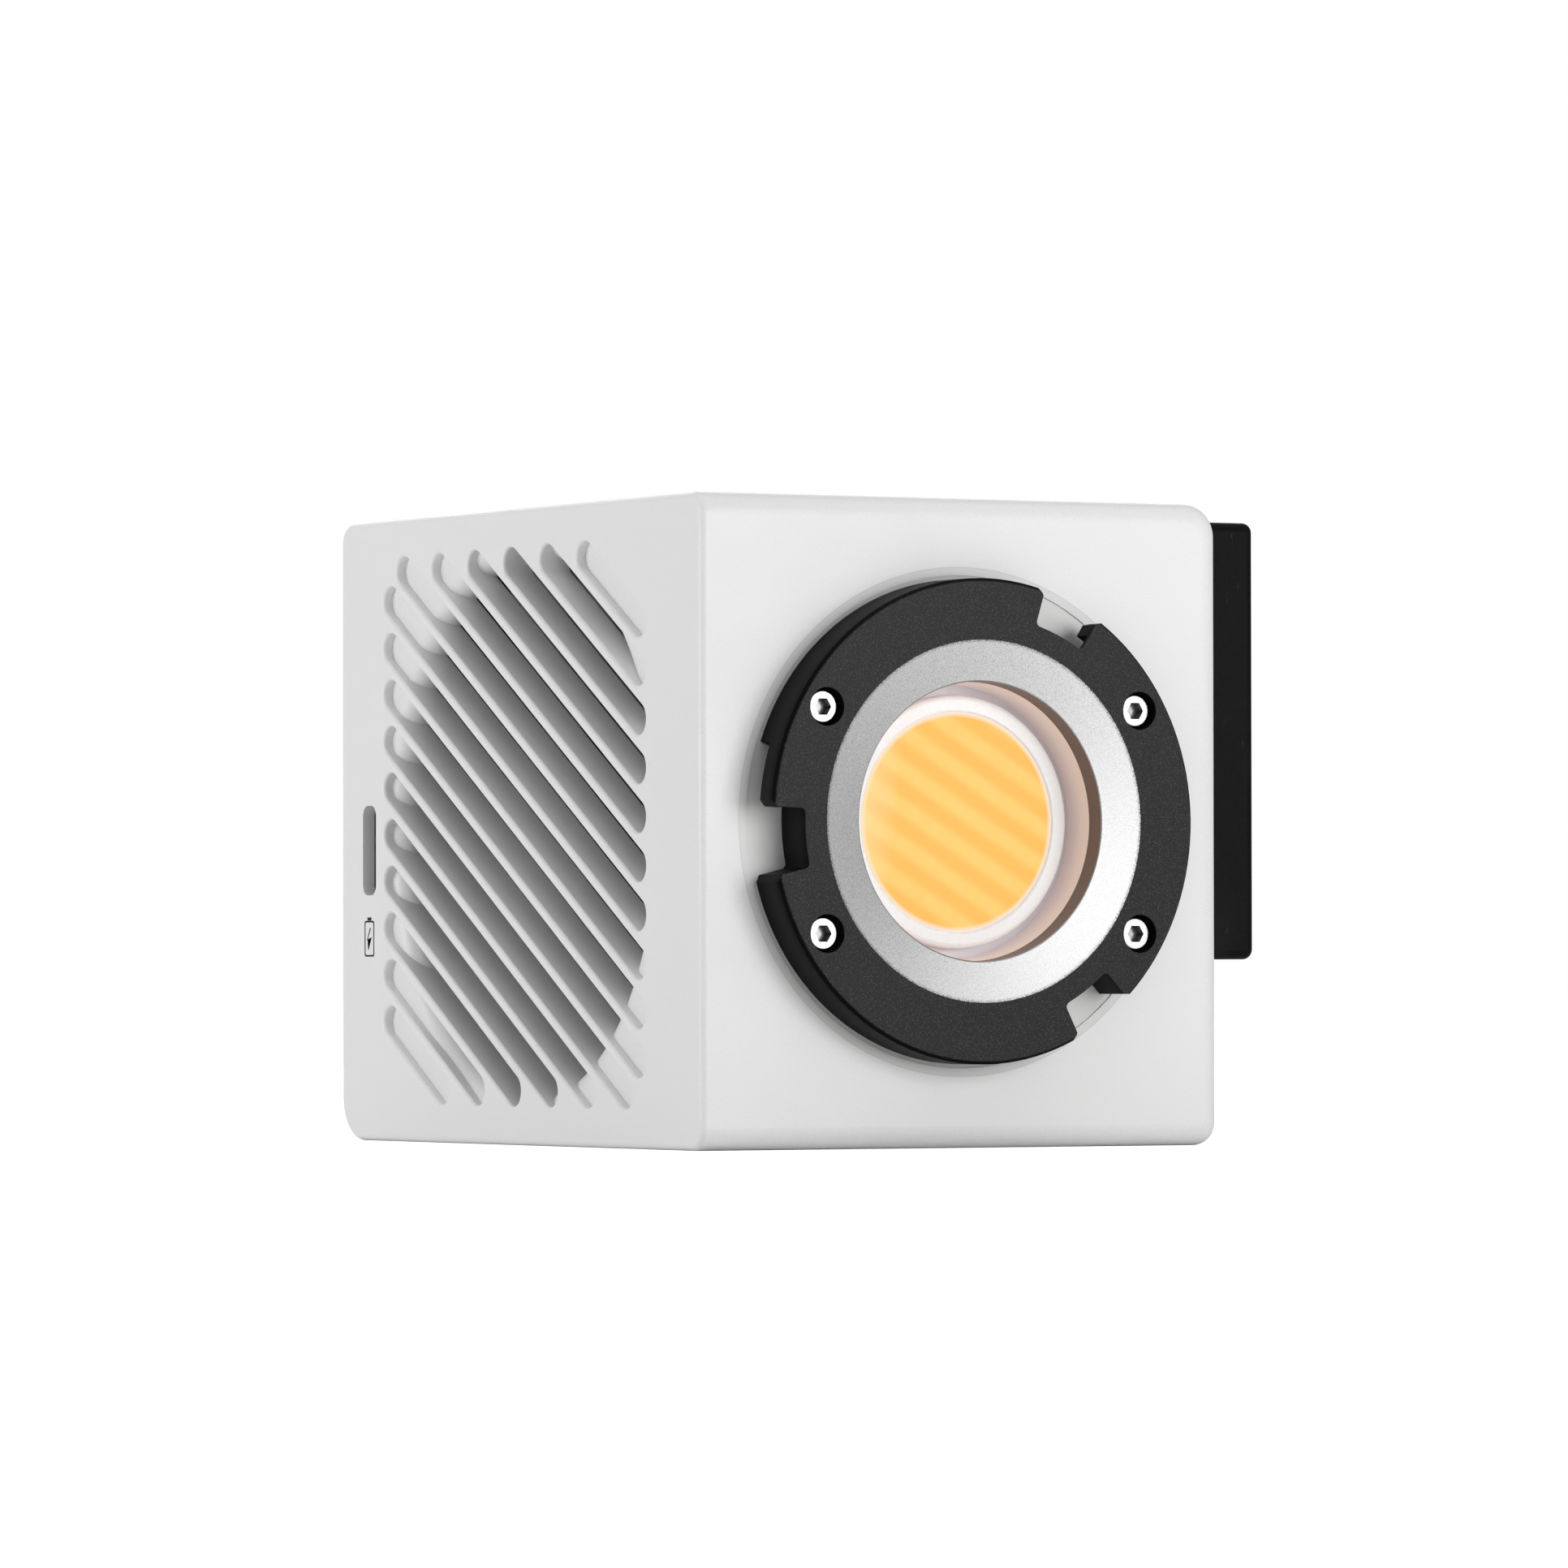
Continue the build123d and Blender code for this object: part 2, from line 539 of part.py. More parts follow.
with BuildPart() as cob_dam:
    tube(FRONT_VIEW.offset(BOARD_TOP), DAM_R, DISC_R, DAM_H)
    fillet(new_edges_at(FRONT_VIEW, BOARD_TOP + DAM_H, DAM_R), DAM_EDGE_R)
    fillet(new_edges_at(FRONT_VIEW, BOARD_TOP + DAM_H, DISC_R), DISC_EDGE_R)
cob_dam.part.label = "cob_dam"
export_step(cob_dam.part, "parts/cob_dam.step")

with BuildPart() as cob_phosphor:
    round_bars(FRONT_VIEW.offset(BOARD_TOP), DISC_R, DISC_H)
    fillet(cob_phosphor.faces().sort_by(Axis.Y)[0].edges(), DISC_EDGE_R)
cob_phosphor.part.label = "cob_phosphor"
export_step(cob_phosphor.part, "parts/cob_phosphor.step")

with BuildPart() as thermal_pad:
    slab(FRONT_VIEW.offset(BOARD_TOP - BOARD_T), (BOARD_SIDE, BOARD_SIDE), -PAD_T)
thermal_pad.part.label = "thermal_pad"
export_step(thermal_pad.part, "parts/thermal_pad.step")

# ================================================================ cooling
SINK_Y = CAVITY_Y[0]
with BuildPart() as heatsink:
    block(SINK_X, (SINK_Y, SINK_Y + SINK_BASE), SINK_Z)
    first = (SINK_Z[0] + SINK_Z[1] - (FIN_COUNT - 1) * FIN_PITCH - FIN_T) / 2
    for fin in range(FIN_COUNT):
        low = first + fin * FIN_PITCH
        block(SINK_X, (SINK_Y, SINK_Y + SINK_REACH), (low, low + FIN_T))
    round_bars(FRONT_VIEW.offset(-FRONT_WALL), M3_R + CLEAR, -SINK_BASE, POSTS, Mode.SUBTRACT)
heatsink.part.label = "heatsink"
export_step(heatsink.part, "parts/heatsink.step")

with BuildPart() as heatsink_posts:
    with BuildSketch(FRONT_VIEW.offset(-FRONT_WALL - SINK_BASE)):
        with Locations(*POSTS):
            RegularPolygon(POST_AF / 2, 6, major_radius=False)
    extrude(amount=-POST_L)
    round_bars(FRONT_VIEW.offset(-FRONT_WALL - SINK_BASE), M3_R, SINK_BASE + POST_TIP, POSTS)
    round_bars(FRONT_VIEW.offset(-FRONT_WALL - SINK_BASE - POST_L), M3_R, 8, POSTS, Mode.SUBTRACT)
heatsink_posts.part.label = "heatsink_posts"
export_step(heatsink_posts.part, "parts/heatsink_posts.step")

with BuildPart() as fan_frame:
    for height in (0, FAN_T - FAN_FLANGE):
        slab(FAN_VIEW.offset(height), (FAN_SIDE, FAN_SIDE), FAN_FLANGE, corner_r=4.0)
    round_bars(FAN_VIEW, FAN_BORE_R + 1.4, FAN_T)
    round_bars(FAN_VIEW, FAN_BORE_R, FAN_T, mode=Mode.SUBTRACT)
    round_bars(FAN_VIEW, M4_R + 0.15, FAN_T, FAN_HOLES, Mode.SUBTRACT)
    # motor base on four struts, with the bearing tube standing on it
    round_bars(FAN_VIEW.offset(FAN_T), FAN_HUB_R, -FAN_BASE)
    for angle in FAN_STRUT_ANGLES:
        with BuildSketch(FAN_VIEW.offset(FAN_T)):
            with Locations(Location((0, 0, 0), (0, 0, angle))):
                with Locations((FAN_BORE_R / 2 + 6, 0)):
                    Rectangle(FAN_BORE_R - 10, FAN_STRUT)
        extrude(amount=-FAN_BASE)
    tube(FAN_VIEW.offset(FAN_T - FAN_BASE), BEARING_R + 1, BEARING_R, -BEARING_L)
fan_frame.part.label = "fan_frame"
export_step(fan_frame.part, "parts/fan_frame.step")

with BuildPart() as fan_bearing:
    tube(FAN_VIEW.offset(FAN_T - FAN_BASE), BEARING_R, FAN_SHAFT_R + SHAFT_CLEAR, -BEARING_L)
fan_bearing.part.label = "fan_bearing"
export_step(fan_bearing.part, "parts/fan_bearing.step")

with BuildPart() as fan_stator:
    tube(FAN_VIEW.offset(FAN_T - FAN_BASE), STATOR_R, BEARING_R + 1, -STATOR_L)
    with BuildSketch(FAN_VIEW.offset(FAN_T - FAN_BASE)):
        with PolarLocations((STATOR_R + BEARING_R + 2) / 2, 4):
            Rectangle(3.4, 2.4)
    extrude(amount=-STATOR_L, mode=Mode.SUBTRACT)
fan_stator.part.label = "fan_stator"
export_step(fan_stator.part, "parts/fan_stator.step")

with BuildPart() as fan_blade:
    for radius, (chord, pitch) in ((FAN_HUB_R - 0.6, BLADE_ROOT), (FAN_BLADE_R, BLADE_TIP)):
        with BuildSketch(Plane(origin=(radius, 0, 0), x_dir=(0, 1, 0), z_dir=(1, 0, 0))):
            with Locations(Location((0, 0, 0), (0, 0, pitch))):
                Rectangle(chord, BLADE_T)
    loft()

with BuildPart() as fan_rotor:
    round_bars(FAN_VIEW.offset(ROTOR_START), FAN_HUB_R, ROTOR_L)
    round_bars(FAN_VIEW.offset(ROTOR_START + HUB_T), FAN_HUB_R - HUB_T, ROTOR_L, mode=Mode.SUBTRACT)
    fillet(fan_rotor.faces().sort_by(Axis.X)[0].edges(), 0.5)
    hub_middle = FAN_VIEW.offset(ROTOR_START + ROTOR_L / 2)
    for blade in range(FAN_BLADES):
        turn = Location((0, 0, 0), (0, 0, blade * 360 / FAN_BLADES))
        add(fan_blade.part.moved(hub_middle.location * turn))
fan_rotor.part.label = "fan_rotor"
export_step(fan_rotor.part, "parts/fan_rotor.step")

with BuildPart() as fan_magnet:
    tube(FAN_VIEW.offset(ROTOR_START + HUB_T), FAN_HUB_R - HUB_T, STATOR_R + 0.4, ROTOR_L - HUB_T - 0.6)
fan_magnet.part.label = "fan_magnet"
export_step(fan_magnet.part, "parts/fan_magnet.step")

with BuildPart() as fan_shaft:
    round_bars(FAN_VIEW.offset(ROTOR_START + HUB_T), FAN_SHAFT_R,
               FAN_T - FAN_BASE - ROTOR_START - HUB_T - 0.4)
fan_shaft.part.label = "fan_shaft"
export_step(fan_shaft.part, "parts/fan_shaft.step")

with BuildPart() as fan_screws:
    round_bars(FAN_VIEW.offset(FAN_FLANGE), FAN_SCREW_R, FAN_SCREW_H, FAN_HOLES)
    fillet(new_edges_at(FAN_VIEW, FAN_FLANGE + FAN_SCREW_H, FAN_SCREW_R), 0.8)
    round_bars(FAN_VIEW.offset(FAN_FLANGE), M4_R, -FAN_FLANGE - FAN_SCREW_BITE, FAN_HOLES)
fan_screws.part.label = "fan_screws"
export_step(fan_screws.part, "parts/fan_screws.step")

# ================================================================ electronics
POST_END = FRONT_VIEW.offset(-FRONT_WALL - SINK_BASE - POST_L)
with BuildPart() as driver_board:
    with BuildSketch(POST_END):
        with Locations(((SINK_X[0] + SINK_X[1]) / 2, (SINK_Z[0] + SINK_Z[1]) / 2 - RING_Z)):
            RectangleRounded(SINK_X[1] - SINK_X[0], SINK_Z[1] - SINK_Z[0], 2)
        with Locations(*POSTS):
            Circle(M3_R + CLEAR, mode=Mode.SUBTRACT)
    extrude(amount=-PCB_T)
driver_board.part.label = "driver_board"
export_step(driver_board.part, "parts/driver_board.step")

DRIVER_TOP = POST_END.offset(-PCB_T)
with BuildPart() as driver_capacitors:
    round_bars(DRIVER_TOP, CAPACITOR_R, -CAPACITOR_L, CAPACITORS)
    fillet(driver_capacitors.faces().sort_by(Axis.Y)[-len(CAPACITORS):].edges(), 0.6)
driver_capacitors.part.label = "driver_capacitors"
export_step(driver_capacitors.part, "parts/driver_capacitors.step")

with BuildPart() as driver_inductor:
    slab(DRIVER_TOP, (INDUCTOR_SIDE, INDUCTOR_SIDE), -INDUCTOR_H, INDUCTOR_AT, 2.5)
    fillet(driver_inductor.faces().sort_by(Axis.Y)[-1].edges(), 1.2)
driver_inductor.part.label = "driver_inductor"
export_step(driver_inductor.part, "parts/driver_inductor.step")

with BuildPart() as driver_screws:
    round_bars(DRIVER_TOP, 2.8, -2.0, POSTS)
    round_bars(DRIVER_TOP, M3_R, PCB_T + 5, POSTS)
driver_screws.part.label = "driver_screws"
export_step(driver_screws.part, "parts/driver_screws.step")

with BuildPart() as control_board:
    slab(REAR_VIEW.offset(CONTROL_PCB), CONTROL_SIZE, -PCB_T, (1.0, HEIGHT / 2), 2.0)
control_board.part.label = "control_board"
export_step(control_board.part, "parts/control_board.step")

with BuildPart() as display_module:
    slab(REAR_VIEW.offset(-WALL), (DISPLAY_SIZE[0] + 3, DISPLAY_SIZE[1] + 3), CONTROL_PCB + WALL,
         (0, DISPLAY_Z), 1.0)
display_module.part.label = "display_module"
export_step(display_module.part, "parts/display_module.step")

with BuildPart() as display_window:
    slab(REAR_VIEW, [side + 4 - CLEAR for side in DISPLAY_SIZE], -WINDOW_T, (0, DISPLAY_Z), 1.95)
display_window.part.label = "display_window"
export_step(display_window.part, "parts/display_window.step")

with BuildPart() as usb_c_port:
    slab(REAR_VIEW.offset(-0.3), USB_SIZE, CONTROL_PCB + 0.3, USB_AT, USB_SIZE[1] / 2 - 0.01)
    slab(REAR_VIEW.offset(-0.3), (USB_SIZE[0] - 0.6, USB_SIZE[1] - 0.6), -6.2, USB_AT,
         USB_SIZE[1] / 2 - 0.31, Mode.SUBTRACT)
    slab(REAR_VIEW.offset(-6.5), (6.7, 0.7), 5.4, USB_AT)
usb_c_port.part.label = "usb_c_port"
export_step(usb_c_port.part, "parts/usb_c_port.step")

# ================================================================ controls
with BuildPart() as power_switch:
    slab(REAR_VIEW.offset(CONTROL_PCB), (SWITCH_SIDE, SWITCH_SIDE), SWITCH_TOP - CONTROL_PCB, POWER_AT, 0.6)
    round_bars(REAR_VIEW.offset(SWITCH_TOP), PLUNGER_R + 0.25, -PLUNGER_SINK - 1, [POWER_AT], Mode.SUBTRACT)
power_switch.part.label = "power_switch"
export_step(power_switch.part, "parts/power_switch.step")

with BuildPart() as power_plunger:
    round_bars(REAR_VIEW.offset(SWITCH_TOP - PLUNGER_SINK), PLUNGER_R,
               BUTTON_BACK - SWITCH_TOP + PLUNGER_SINK, [POWER_AT])
power_plunger.part.label = "power_plunger"
export_step(power_plunger.part, "parts/power_plunger.step")

with BuildPart() as power_button:
    round_bars(REAR_VIEW.offset(BUTTON_BACK), POWER_R + POWER_RIM, -WALL - 0.35 - BUTTON_BACK, [POWER_AT])
    round_bars(REAR_VIEW.offset(BUTTON_BACK), POWER_R, BUTTON_PROUD - BUTTON_BACK, [POWER_AT])
    fillet(power_button.faces().sort_by(Axis.Y)[-1].edges(), 0.5)
power_button.part.label = "power_button"
export_step(power_button.part, "parts/power_button.step")

SHAFT_FOOT = CONTROL_PCB + PUSHER_START + PUSHER_T
for dial_name, dial_at in zip(("brightness", "colour"), DIALS):
    with BuildPart() as encoder:
        slab(REAR_VIEW.offset(CONTROL_PCB), (ENCODER_SIDE, ENCODER_SIDE), ENCODER_TOP - CONTROL_PCB,
             dial_at, 0.8)
        round_bars(REAR_VIEW.offset(ENCODER_TOP), BUSHING_R, BUSHING_PROUD - ENCODER_TOP, [dial_at])
        round_bars(REAR_VIEW.offset(SHAFT_FOOT - DIAL_TRAVEL - PRESS_CLEAR), SHAFT_R + SHAFT_CLEAR, DIAL_R,
                   [dial_at], Mode.SUBTRACT)
        round_bars(REAR_VIEW.offset(CONTROL_PCB + ENCODER_FLOOR), PUSHER_R + PRESS_CLEAR,
                   PUSHER_START + PUSHER_T, [dial_at], Mode.SUBTRACT)
    encoder.part.label = f"{dial_name}_encoder"
    export_step(encoder.part, f"parts/{dial_name}_encoder.step")

    with BuildPart() as pusher:
        round_bars(REAR_VIEW.offset(SHAFT_FOOT), PUSHER_R, -PUSHER_T, [dial_at])
    pusher.part.label = f"{dial_name}_pusher"
    export_step(pusher.part, f"parts/{dial_name}_pusher.step")

    with BuildPart() as shaft:
        round_bars(REAR_VIEW.offset(SHAFT_FOOT), SHAFT_R, DIAL_GAP + DIAL_H - DIAL_CAP - SHAFT_FOOT,
                   [dial_at])
    shaft.part.label = f"{dial_name}_shaft"
    export_step(shaft.part, f"parts/{dial_name}_shaft.step")

    with BuildPart() as dial:
        with BuildSketch(REAR_VIEW.offset(DIAL_GAP)):
            with Locations(dial_at):
                Circle(DIAL_R)
                with PolarLocations(DIAL_R + 0.25, DIAL_FLUTES):
                    Circle(0.55, mode=Mode.SUBTRACT)
        extrude(amount=DIAL_H)
        crown = dial.faces().sort_by(Axis.Y)[-1]
        chamfer(crown.outer_wire().edges(), 0.5)
        round_bars(REAR_VIEW.offset(DIAL_GAP + DIAL_H), DIAL_R - 2.2, -0.5, [dial_at], Mode.SUBTRACT)
        round_bars(REAR_VIEW.offset(DIAL_GAP), SHAFT_R, DIAL_H - DIAL_CAP, [dial_at], Mode.SUBTRACT)
        tube(REAR_VIEW.offset(DIAL_GAP), DIAL_R - DIAL_WALL, SHAFT_R + DIAL_WALL, DIAL_HOLLOW, [dial_at],
             Mode.SUBTRACT)
        slab(REAR_VIEW.offset(DIAL_GAP + DIAL_H - 0.5), (0.9, 3.4), -0.4,
             (dial_at[0], dial_at[1] + DIAL_R - 4.8), 0.4, Mode.SUBTRACT)
    dial.part.label = f"{dial_name}_dial"
    export_step(dial.part, f"parts/{dial_name}_dial.step")

# ================================================================ side dock
DOCK_MIDDLE = sum(DOCK_Z) / 2
SPRING_SOLID = SPRING_TURNS * 2 * SPRING_WIRE_R
LATCH_FOOT = LATCH_TRAVEL + SPRING_SOLID
LATCH_LEDGE = LATCH_FOOT + LATCH_FLANGE[1] + LATCH_GAP
DOCK_TALL = DOCK_Z[1] - DOCK_Z[0]
FLOOR = DOCK_T - CHANNEL_DEPTH
CHANNEL_MIDDLE = (0, CHANNEL_FLOOR_Z + DOCK_TALL / 2)
with BuildPart() as dock_plate:
    slab(RIGHT_VIEW, (DOCK_L, DOCK_TALL), DOCK_T, (0, DOCK_MIDDLE), DOCK_CORNER_R)
    fillet(dock_plate.faces().sort_by(Axis.X)[-1].edges(), DOCK_CORNER_R - 0.1)
    slab(RIGHT_VIEW.offset(FLOOR), (CHANNEL_MOUTH, DOCK_TALL), DOCK_T, CHANNEL_MIDDLE, mode=Mode.SUBTRACT)
    slab(RIGHT_VIEW.offset(FLOOR), (CHANNEL_WIDE, DOCK_TALL), CHANNEL_DEPTH - CHANNEL_LIP, CHANNEL_MIDDLE,
         mode=Mode.SUBTRACT)
    # latch pocket, wider below its ledge
    for overhang, length in ((0, DOCK_T), (LATCH_FLANGE[0] + CLEAR, LATCH_LEDGE)):
        margin = 2 * (overhang + LATCH_GAP)
        slab(RIGHT_VIEW, (LATCH_SIZE[0] + margin, LATCH_SIZE[1] + margin), length, (0, LATCH_Z),
             mode=Mode.SUBTRACT)
    # contact block recess and screws
    slab(RIGHT_VIEW.offset(FLOOR), CONTACT_SIZE, -CONTACT_DEPTH, CONTACT_AT, 1.0, Mode.SUBTRACT)
    round_bars(RIGHT_VIEW, LEAD_BORE_R, FLOOR, DOCK_LEADS, Mode.SUBTRACT)
    round_bars(RIGHT_VIEW, M3_R + CLEAR, FLOOR, DOCK_SCREWS, Mode.SUBTRACT)
    round_bars(RIGHT_VIEW.offset(FLOOR), DOCK_HEAD_R + 0.25, -DOCK_SCREW_SINK, DOCK_SCREWS, Mode.SUBTRACT)
dock_plate.part.label = "dock_plate"
export_step(dock_plate.part, "parts/dock_plate.step")

with BuildPart() as dock_screws:
    socket_screws(RIGHT_VIEW.offset(FLOOR - DOCK_SCREW_SINK), DOCK_SCREWS, DOCK_HEAD_R, DOCK_HEAD_H, M3_R,
                  FLOOR - DOCK_SCREW_SINK + WALL + 0.5, DOCK_HEX)
dock_screws.part.label = "dock_screws"
export_step(dock_screws.part, "parts/dock_screws.step")

with BuildPart() as contact_block:
    slab(RIGHT_VIEW.offset(FLOOR - CONTACT_DEPTH), CONTACT_SIZE, CONTACT_DEPTH + CONTACT_PROUD,
         CONTACT_AT, 1.0)
    round_bars(RIGHT_VIEW.offset(FLOOR + CONTACT_PROUD), CONTACT_R, -CONTACT_SINK, CONTACTS, Mode.SUBTRACT)
contact_block.part.label = "contact_block"
export_step(contact_block.part, "parts/contact_block.step")

with BuildPart() as dock_contacts:
    round_bars(RIGHT_VIEW.offset(FLOOR + CONTACT_PROUD - CONTACT_SINK), CONTACT_R, 0.9, CONTACTS)
dock_contacts.part.label = "dock_contacts"
export_step(dock_contacts.part, "parts/dock_contacts.step")

with BuildPart() as latch_tab:
    slab(RIGHT_VIEW.offset(LATCH_FOOT), [side + 2 * LATCH_FLANGE[0] for side in LATCH_SIZE],
         LATCH_FLANGE[1], (0, LATCH_Z))
    slab(RIGHT_VIEW.offset(LATCH_FOOT), LATCH_SIZE, FLOOR - LATCH_FOOT + TOOTH_H, (0, LATCH_Z))
    tooth_top = latch_tab.faces().sort_by(Axis.X)[-1].edges()
    chamfer(tooth_top.filter_by(Axis.Y).sort_by(Axis.Z)[-1], TOOTH_H - 2 * CLEAR, LATCH_SLOPE)
latch_tab.part.label = "latch_tab"
export_step(latch_tab.part, "parts/latch_tab.step")

with BuildPart() as latch_spring:
    spring_gap = LATCH_FOOT - 2 * SPRING_WIRE_R
    with BuildLine() as coil:
        Helix(spring_gap / SPRING_TURNS, spring_gap, SPRING_R,
              center=(RIGHT + SPRING_WIRE_R, 0, LATCH_Z), direction=(1, 0, 0))
    with BuildSketch(Plane(origin=coil.line @ 0, z_dir=coil.line % 0)) as wire:
        Circle(SPRING_WIRE_R)
    sweep(wire.sketch, path=coil.line)
latch_spring.part.label = "latch_spring"
export_step(latch_spring.part, "parts/latch_spring.step")

# ================================================================ tripod thread
with BuildPart() as tripod_insert:
    round_bars(Plane.XY, INSERT_R + 1, 1)
    round_bars(Plane.XY, INSERT_R, INSERT_L)
    round_bars(Plane.XY, TRIPOD_R, TRIPOD_DEPTH, mode=Mode.SUBTRACT)
tripod_insert.part.label = "tripod_insert"
export_step(tripod_insert.part, "parts/tripod_insert.step")

# ================================================================ wiring


def lead(points):
    """A round lead along straight runs with bent corners."""
    with BuildLine() as route:
        FilletPolyline(*points, radius=LEAD_BEND_R)
    with BuildSketch(Plane(origin=route.line @ 0, z_dir=route.line % 0)) as section:
        Circle(LEAD_R)
    sweep(section.sketch, path=route.line)


DRIVER_FRONT_Y = CAVITY_Y[0] + SINK_BASE + POST_L
DRIVER_REAR_Y = DRIVER_FRONT_Y + PCB_T
with BuildPart() as led_leads:
    groove_y = CAVITY_Y[0] - LEAD_GROOVE + LEAD_R + CLEAR
    for x in LEAD_X:
        lead([(x, groove_y, RING_Z - BOARD_SIDE / 2), (x, groove_y, LEAD_RUN_Z),
              (x, DRIVER_REAR_Y + 6, LEAD_RUN_Z), (x, DRIVER_REAR_Y + 6, SINK_Z[0] + 5),
              (x, DRIVER_REAR_Y, SINK_Z[0] + 5)])
led_leads.part.label = "led_leads"
export_step(led_leads.part, "parts/led_leads.step")

with BuildPart() as fan_leads:
    for z in FAN_LEAD_Z:
        lead([(CAVITY_X[0] + FAN_T, FAN_LEAD_Y, z), (SINK_X[0] + 6, FAN_LEAD_Y, z),
              (SINK_X[0] + 6, DRIVER_REAR_Y, z)])
fan_leads.part.label = "fan_leads"
export_step(fan_leads.part, "parts/fan_leads.step")

with BuildPart() as dock_leads:
    for y, z in DOCK_LEADS:
        lead([(RIGHT + FLOOR - CONTACT_DEPTH, y, z), (SINK_X[1] - 3, y, z),
              (SINK_X[1] - 3, DRIVER_FRONT_Y, z)])
dock_leads.part.label = "dock_leads"
export_step(dock_leads.part, "parts/dock_leads.step")

with BuildPart() as board_link:
    block((-LINK_W / 2, LINK_W / 2), (DRIVER_REAR_Y, REAR + CONTROL_PCB - PCB_T), LINK_Z)
board_link.part.label = "board_link"
export_step(board_link.part, "parts/board_link.step")
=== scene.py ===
"""Looks of the compact LED spotlight head: materials, printed signs, floor, light and camera."""

import json
import math

import bpy
from mathutils import Euler, Matrix, Vector


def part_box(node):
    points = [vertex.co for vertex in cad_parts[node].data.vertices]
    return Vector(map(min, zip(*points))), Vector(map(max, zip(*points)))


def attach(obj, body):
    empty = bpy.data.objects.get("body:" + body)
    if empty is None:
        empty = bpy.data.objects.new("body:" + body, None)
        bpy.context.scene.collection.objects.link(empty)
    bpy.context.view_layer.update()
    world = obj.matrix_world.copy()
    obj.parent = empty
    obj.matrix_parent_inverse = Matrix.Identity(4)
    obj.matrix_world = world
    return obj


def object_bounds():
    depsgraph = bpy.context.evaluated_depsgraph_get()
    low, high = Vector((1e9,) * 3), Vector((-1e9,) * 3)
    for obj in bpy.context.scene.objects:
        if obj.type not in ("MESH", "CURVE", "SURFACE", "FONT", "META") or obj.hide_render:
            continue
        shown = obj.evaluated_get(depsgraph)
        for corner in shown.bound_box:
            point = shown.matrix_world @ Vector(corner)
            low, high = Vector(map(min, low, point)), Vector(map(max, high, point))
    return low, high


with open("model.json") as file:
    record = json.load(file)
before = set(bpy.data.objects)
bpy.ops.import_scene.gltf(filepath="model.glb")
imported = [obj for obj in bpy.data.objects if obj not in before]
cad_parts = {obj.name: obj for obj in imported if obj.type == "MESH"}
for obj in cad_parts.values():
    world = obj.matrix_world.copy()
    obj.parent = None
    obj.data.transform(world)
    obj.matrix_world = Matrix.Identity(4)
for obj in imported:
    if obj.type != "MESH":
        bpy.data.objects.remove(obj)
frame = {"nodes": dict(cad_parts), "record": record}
cad_low, cad_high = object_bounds()

MM = 0.001

# The camera looks at AIM from DISTANCE away. Its azimuth grows from the front towards the left side (-X).
AIM = Vector((-9.48, -21.59, 49.72)) * MM
DISTANCE = 1.3
LOOK_AZIMUTH = math.radians(29.1609)
LOOK_UP = math.radians(1.1504)
LOOK_ROLL = math.radians(0.0887)
LENS = 216.841
SENSOR = 36

# The room's light fades towards the azimuth DARK_SIDE, in degrees from the front towards +X.
AMBIENT = 0.39
DARK_SIDE = 80.0
DARK_SHARE = 0.3
SUN_POWER = 0.9
SUN_SPREAD = 60.0

FLOOR_SIZE = 12.0
FLOOR_BOUNCE = 0.82
FLOOR_GLOW = 0.6

SIGN_T = 0.03 * MM
READOUT_T = 0.02 * MM
READOUT_GLOW = 2.2

BORE_R = 18.83 * MM
# radius where the painted shade around the bayonet ring ends
PAINTED_RECESS_R = 34.4 * MM
CHIP_ROW_SLANT = 31.0
CHIP_ROW_PITCH = 4.41 * MM
CHIP_ROW_SHIFT = 0.64 * MM
CHIP_PITCH = 1.9 * MM
PAINTED_CHIP_GLOW = 0.8


# ---------------------------------------------------------------- material helpers


